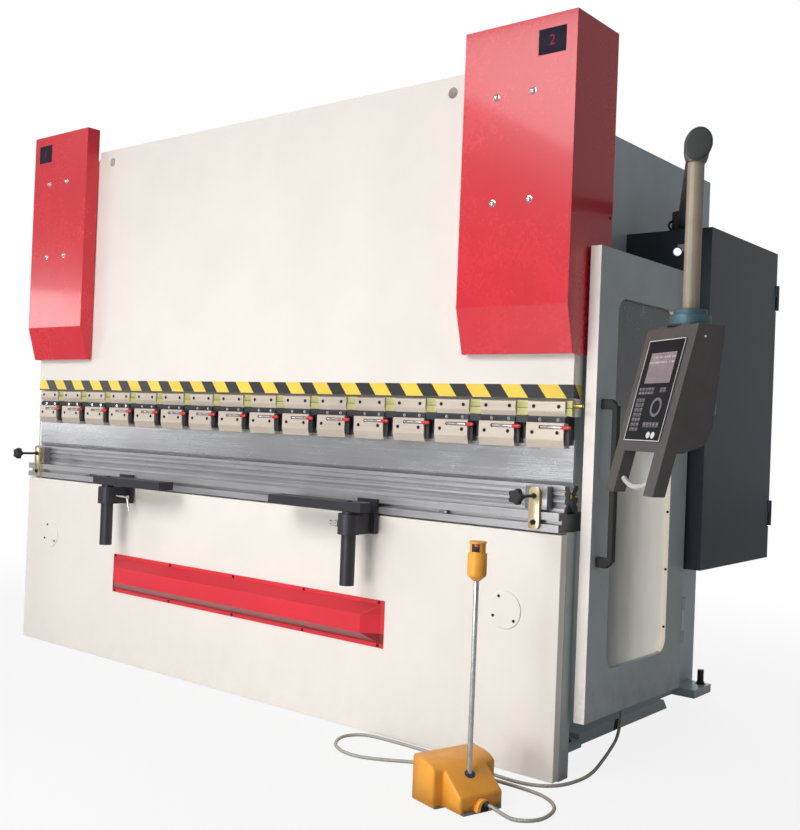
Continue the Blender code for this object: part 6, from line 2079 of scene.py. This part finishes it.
@dataclass
class Pedal:
    """Foot pedal: hood, treadle, stop post with its head and button."""

    end: tuple[float, float] = (1.571, -0.4455)
    yaw: float = math.radians(164.3)
    top: tuple = ((0.0, 0.0530), (0.086, 0.1195), (0.110, 0.1335), (0.140, 0.1395), (0.194, 0.1450))
    half: float = 0.125
    neck_half: float = 0.0855
    wall: float = 0.004
    post_at: float = 0.066
    grommet: tuple = ((0, 0), (0.0195, 0), (0.0195, 0.001), (0.0175, 0.0022), (0, 0.0026))
    grommet_at: tuple[float, float] = (0.0605, 0.0015)
    grommet_lean: float = -0.675
    button: tuple = ((0, 0), (0.0092, 0), (0.0092, 0.0020), (0.0070, 0.0036), (0, 0.0042))
    window_turn: float = math.radians(-72)

    def place(self) -> Matrix:
        """The pedal's frame: X from its cable end to its mouth."""
        return Matrix.Translation((*self.end, 0)) @ Matrix.Rotation(self.yaw, 4, "Z")

    def post(self) -> list[bpy.types.Object]:
        """The chrome post with its rubber grommet and yellow head.

        Returns:
            The new pieces.
        """
        place = self.place()
        low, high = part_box("stop_post")
        form = Form().rod((self.post_at, 0, low[2]), (self.post_at, 0, high[2]), 0.0085, sides=32,
                          place=place)
        made = [form.piece("post", Look.CHROME, "machine", "bright_chrome", 35.0, ["stop_post"])]
        seat = Matrix.Translation((*self.grommet_at, self.height(self.grommet_at[0])))
        lean = place @ seat @ Matrix.Rotation(self.grommet_lean, 4, "Y")
        oval = lean @ Matrix.Diagonal((0.82, 1.0, 1.0, 1.0))
        form = Form().lathe(self.grommet, (0, 0, -0.0004), UP, 36, oval)
        made.append(form.piece("grommet", Look.BLUE_RUBBER, "machine"))
        low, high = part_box("stop_head")
        tall = high[2] - low[2]
        profile = [(0, 0), (0.012, 0), (0.0305, 0.017), (0.031, 0.020), (0.031, 0.084), (0.0295, 0.087),
                   (0.0255, 0.088), (0.0255, tall - 0.006), (0.0285, tall - 0.005), (0.0285, tall - 0.001),
                   (0.0275, tall), (0, tall)]
        form = Form().lathe(profile, (self.post_at, 0, low[2]), UP, 40, place)
        made.append(form.piece("head", Look.ORANGE, "machine", "pedal_yellow", 35.0, ["stop_head"]))
        middle = place @ Vector((self.post_at, 0, 0))
        window = Matrix.Translation((middle.x, middle.y, high[2])) @ Matrix.Rotation(self.window_turn, 4, "Z")
        # The head's window: a dark block of painted shade.
        form = Form().box((0.0170, -0.0125, -0.0325), (0.0262, 0.0125, -0.0065), window, 0.0028)
        made.append(form.piece("head_window_shade", Look.RECESS, "machine"))
        form = Form().box((0.0240, -0.0030, -0.0150), (0.0268, 0.0100, -0.0085), window, 0.0012)
        made.append(form.piece("head_flag", Look.RED_CAP, "machine"))
        form = Form().lathe(self.button, (0.0240, 0.0010, -0.0225), RIGHT, 28, window)
        made.append(form.piece("head_button", Look.PLASTIC, "machine"))
        return made

    def height(self, along: float) -> float:
        """Height of the hood's top.

        Args:
            along: Distance from its cable end.

        Returns:
            The height.
        """
        for (start, low), (stop, high) in zip(self.top, self.top[1:]):
            if along <= stop:
                return low + (high - low) * (along - start) / (stop - start)
        return self.top[-1][1]

    def hood(self) -> list[bpy.types.Object]:
        """The rounded hollow hood, open at its mouth, and its cable arch.

        Returns:
            The new pieces.
        """
        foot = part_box("pedal_hood")[0][2] - 0.005
        folds = [along for along, _ in self.top]
        mouth, neck = folds[-1], folds[1]
        wide, slim = self.half, self.neck_half
        outline = [(0, -slim), (neck, -slim), (neck, -wide), (mouth, -wide), (mouth, wide), (neck, wide),
                   (neck, slim), (0, slim)]
        form = Form().slab(outline, "Z", foot, self.top[-1][1])
        mesh = form.mesh
        for fold in folds[1:-1]:
            bmesh.ops.bisect_plane(mesh, geom=mesh.verts[:] + mesh.edges[:] + mesh.faces[:], dist=1e-5,
                                   plane_co=(fold, 0, 0), plane_no=RIGHT)
        for vert in mesh.verts:
            if vert.co.z > 0.1:
                vert.co.z = self.height(vert.co.x)
        mesh.normal_update()
        spare = [face for face in mesh.faces if face.normal.z < -0.9 or face.normal.x > 0.9
                 and min(vert.co.x for vert in face.verts) > mouth - 1e-4]
        bmesh.ops.delete(mesh, geom=spare, context="FACES")
        sharp = [edge for edge in mesh.edges if edge.calc_face_angle(0.0) > math.radians(30)]
        form.soften(sharp, 0.009, 4)
        bmesh.ops.transform(mesh, matrix=self.place(), verts=mesh.verts[:])
        hood = form.piece("hood", Look.ORANGE, "machine", "pedal_yellow", 40.0, ["pedal_hood"])
        wall = hood.modifiers.new("wall", "SOLIDIFY")
        wall.thickness = self.wall
        wall.offset = -1.0
        made = [hood]
        # The hole under the arch: a dark sheet of painted shade.
        for name, look, half, top, reach in (("arch", Look.ORANGE, 0.0300, 0.0430, -0.0170),
                                             ("arch_hole_shade", Look.RECESS, 0.0165, 0.0345, -0.0176)):
            curve = [(0.0020 + half * math.cos(turn), foot + (top - foot) * math.sin(turn))
                     for turn in (math.pi * step / 24 for step in range(25))]
            form = Form().slab(curve, "X", reach, 0.010 if name == "arch" else -0.0160,
                               0.0035 if name == "arch" else 0.0, self.place(), 30.0)
            made.append(form.piece(name, look, "machine"))
        return made

    def build(self) -> list[bpy.types.Object]:
        """Make the hood and the post and dress the rest.

        Returns:
            The new pieces.
        """
        dress("pedal_base", Look.PLAIN)
        dress("pedal_treadle", Look.PLASTIC)
        return self.hood() + self.post()


def main() -> None:
    """Build every sub-assembly and report its pieces."""
    logging.basicConfig(level=logging.INFO, format="%(message)s")
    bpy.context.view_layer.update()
    Studio().build()
    parts = (PedalHose(), Ram(), ToolClamps(), Tooling(), Apron(), EndClamps(), CylinderCovers(),
             SideFrames(), Rear(), Supports(), Doors(), Cabinet(), PendantArm(), Pendant(), Pedal())
    for part in parts:
        made = part.build()
        names = ", ".join(piece.name for piece in made)
        LOG.info("%s: %s", type(part).__name__, names)
    bpy.context.view_layer.update()


if __name__ == "__main__":
    main()
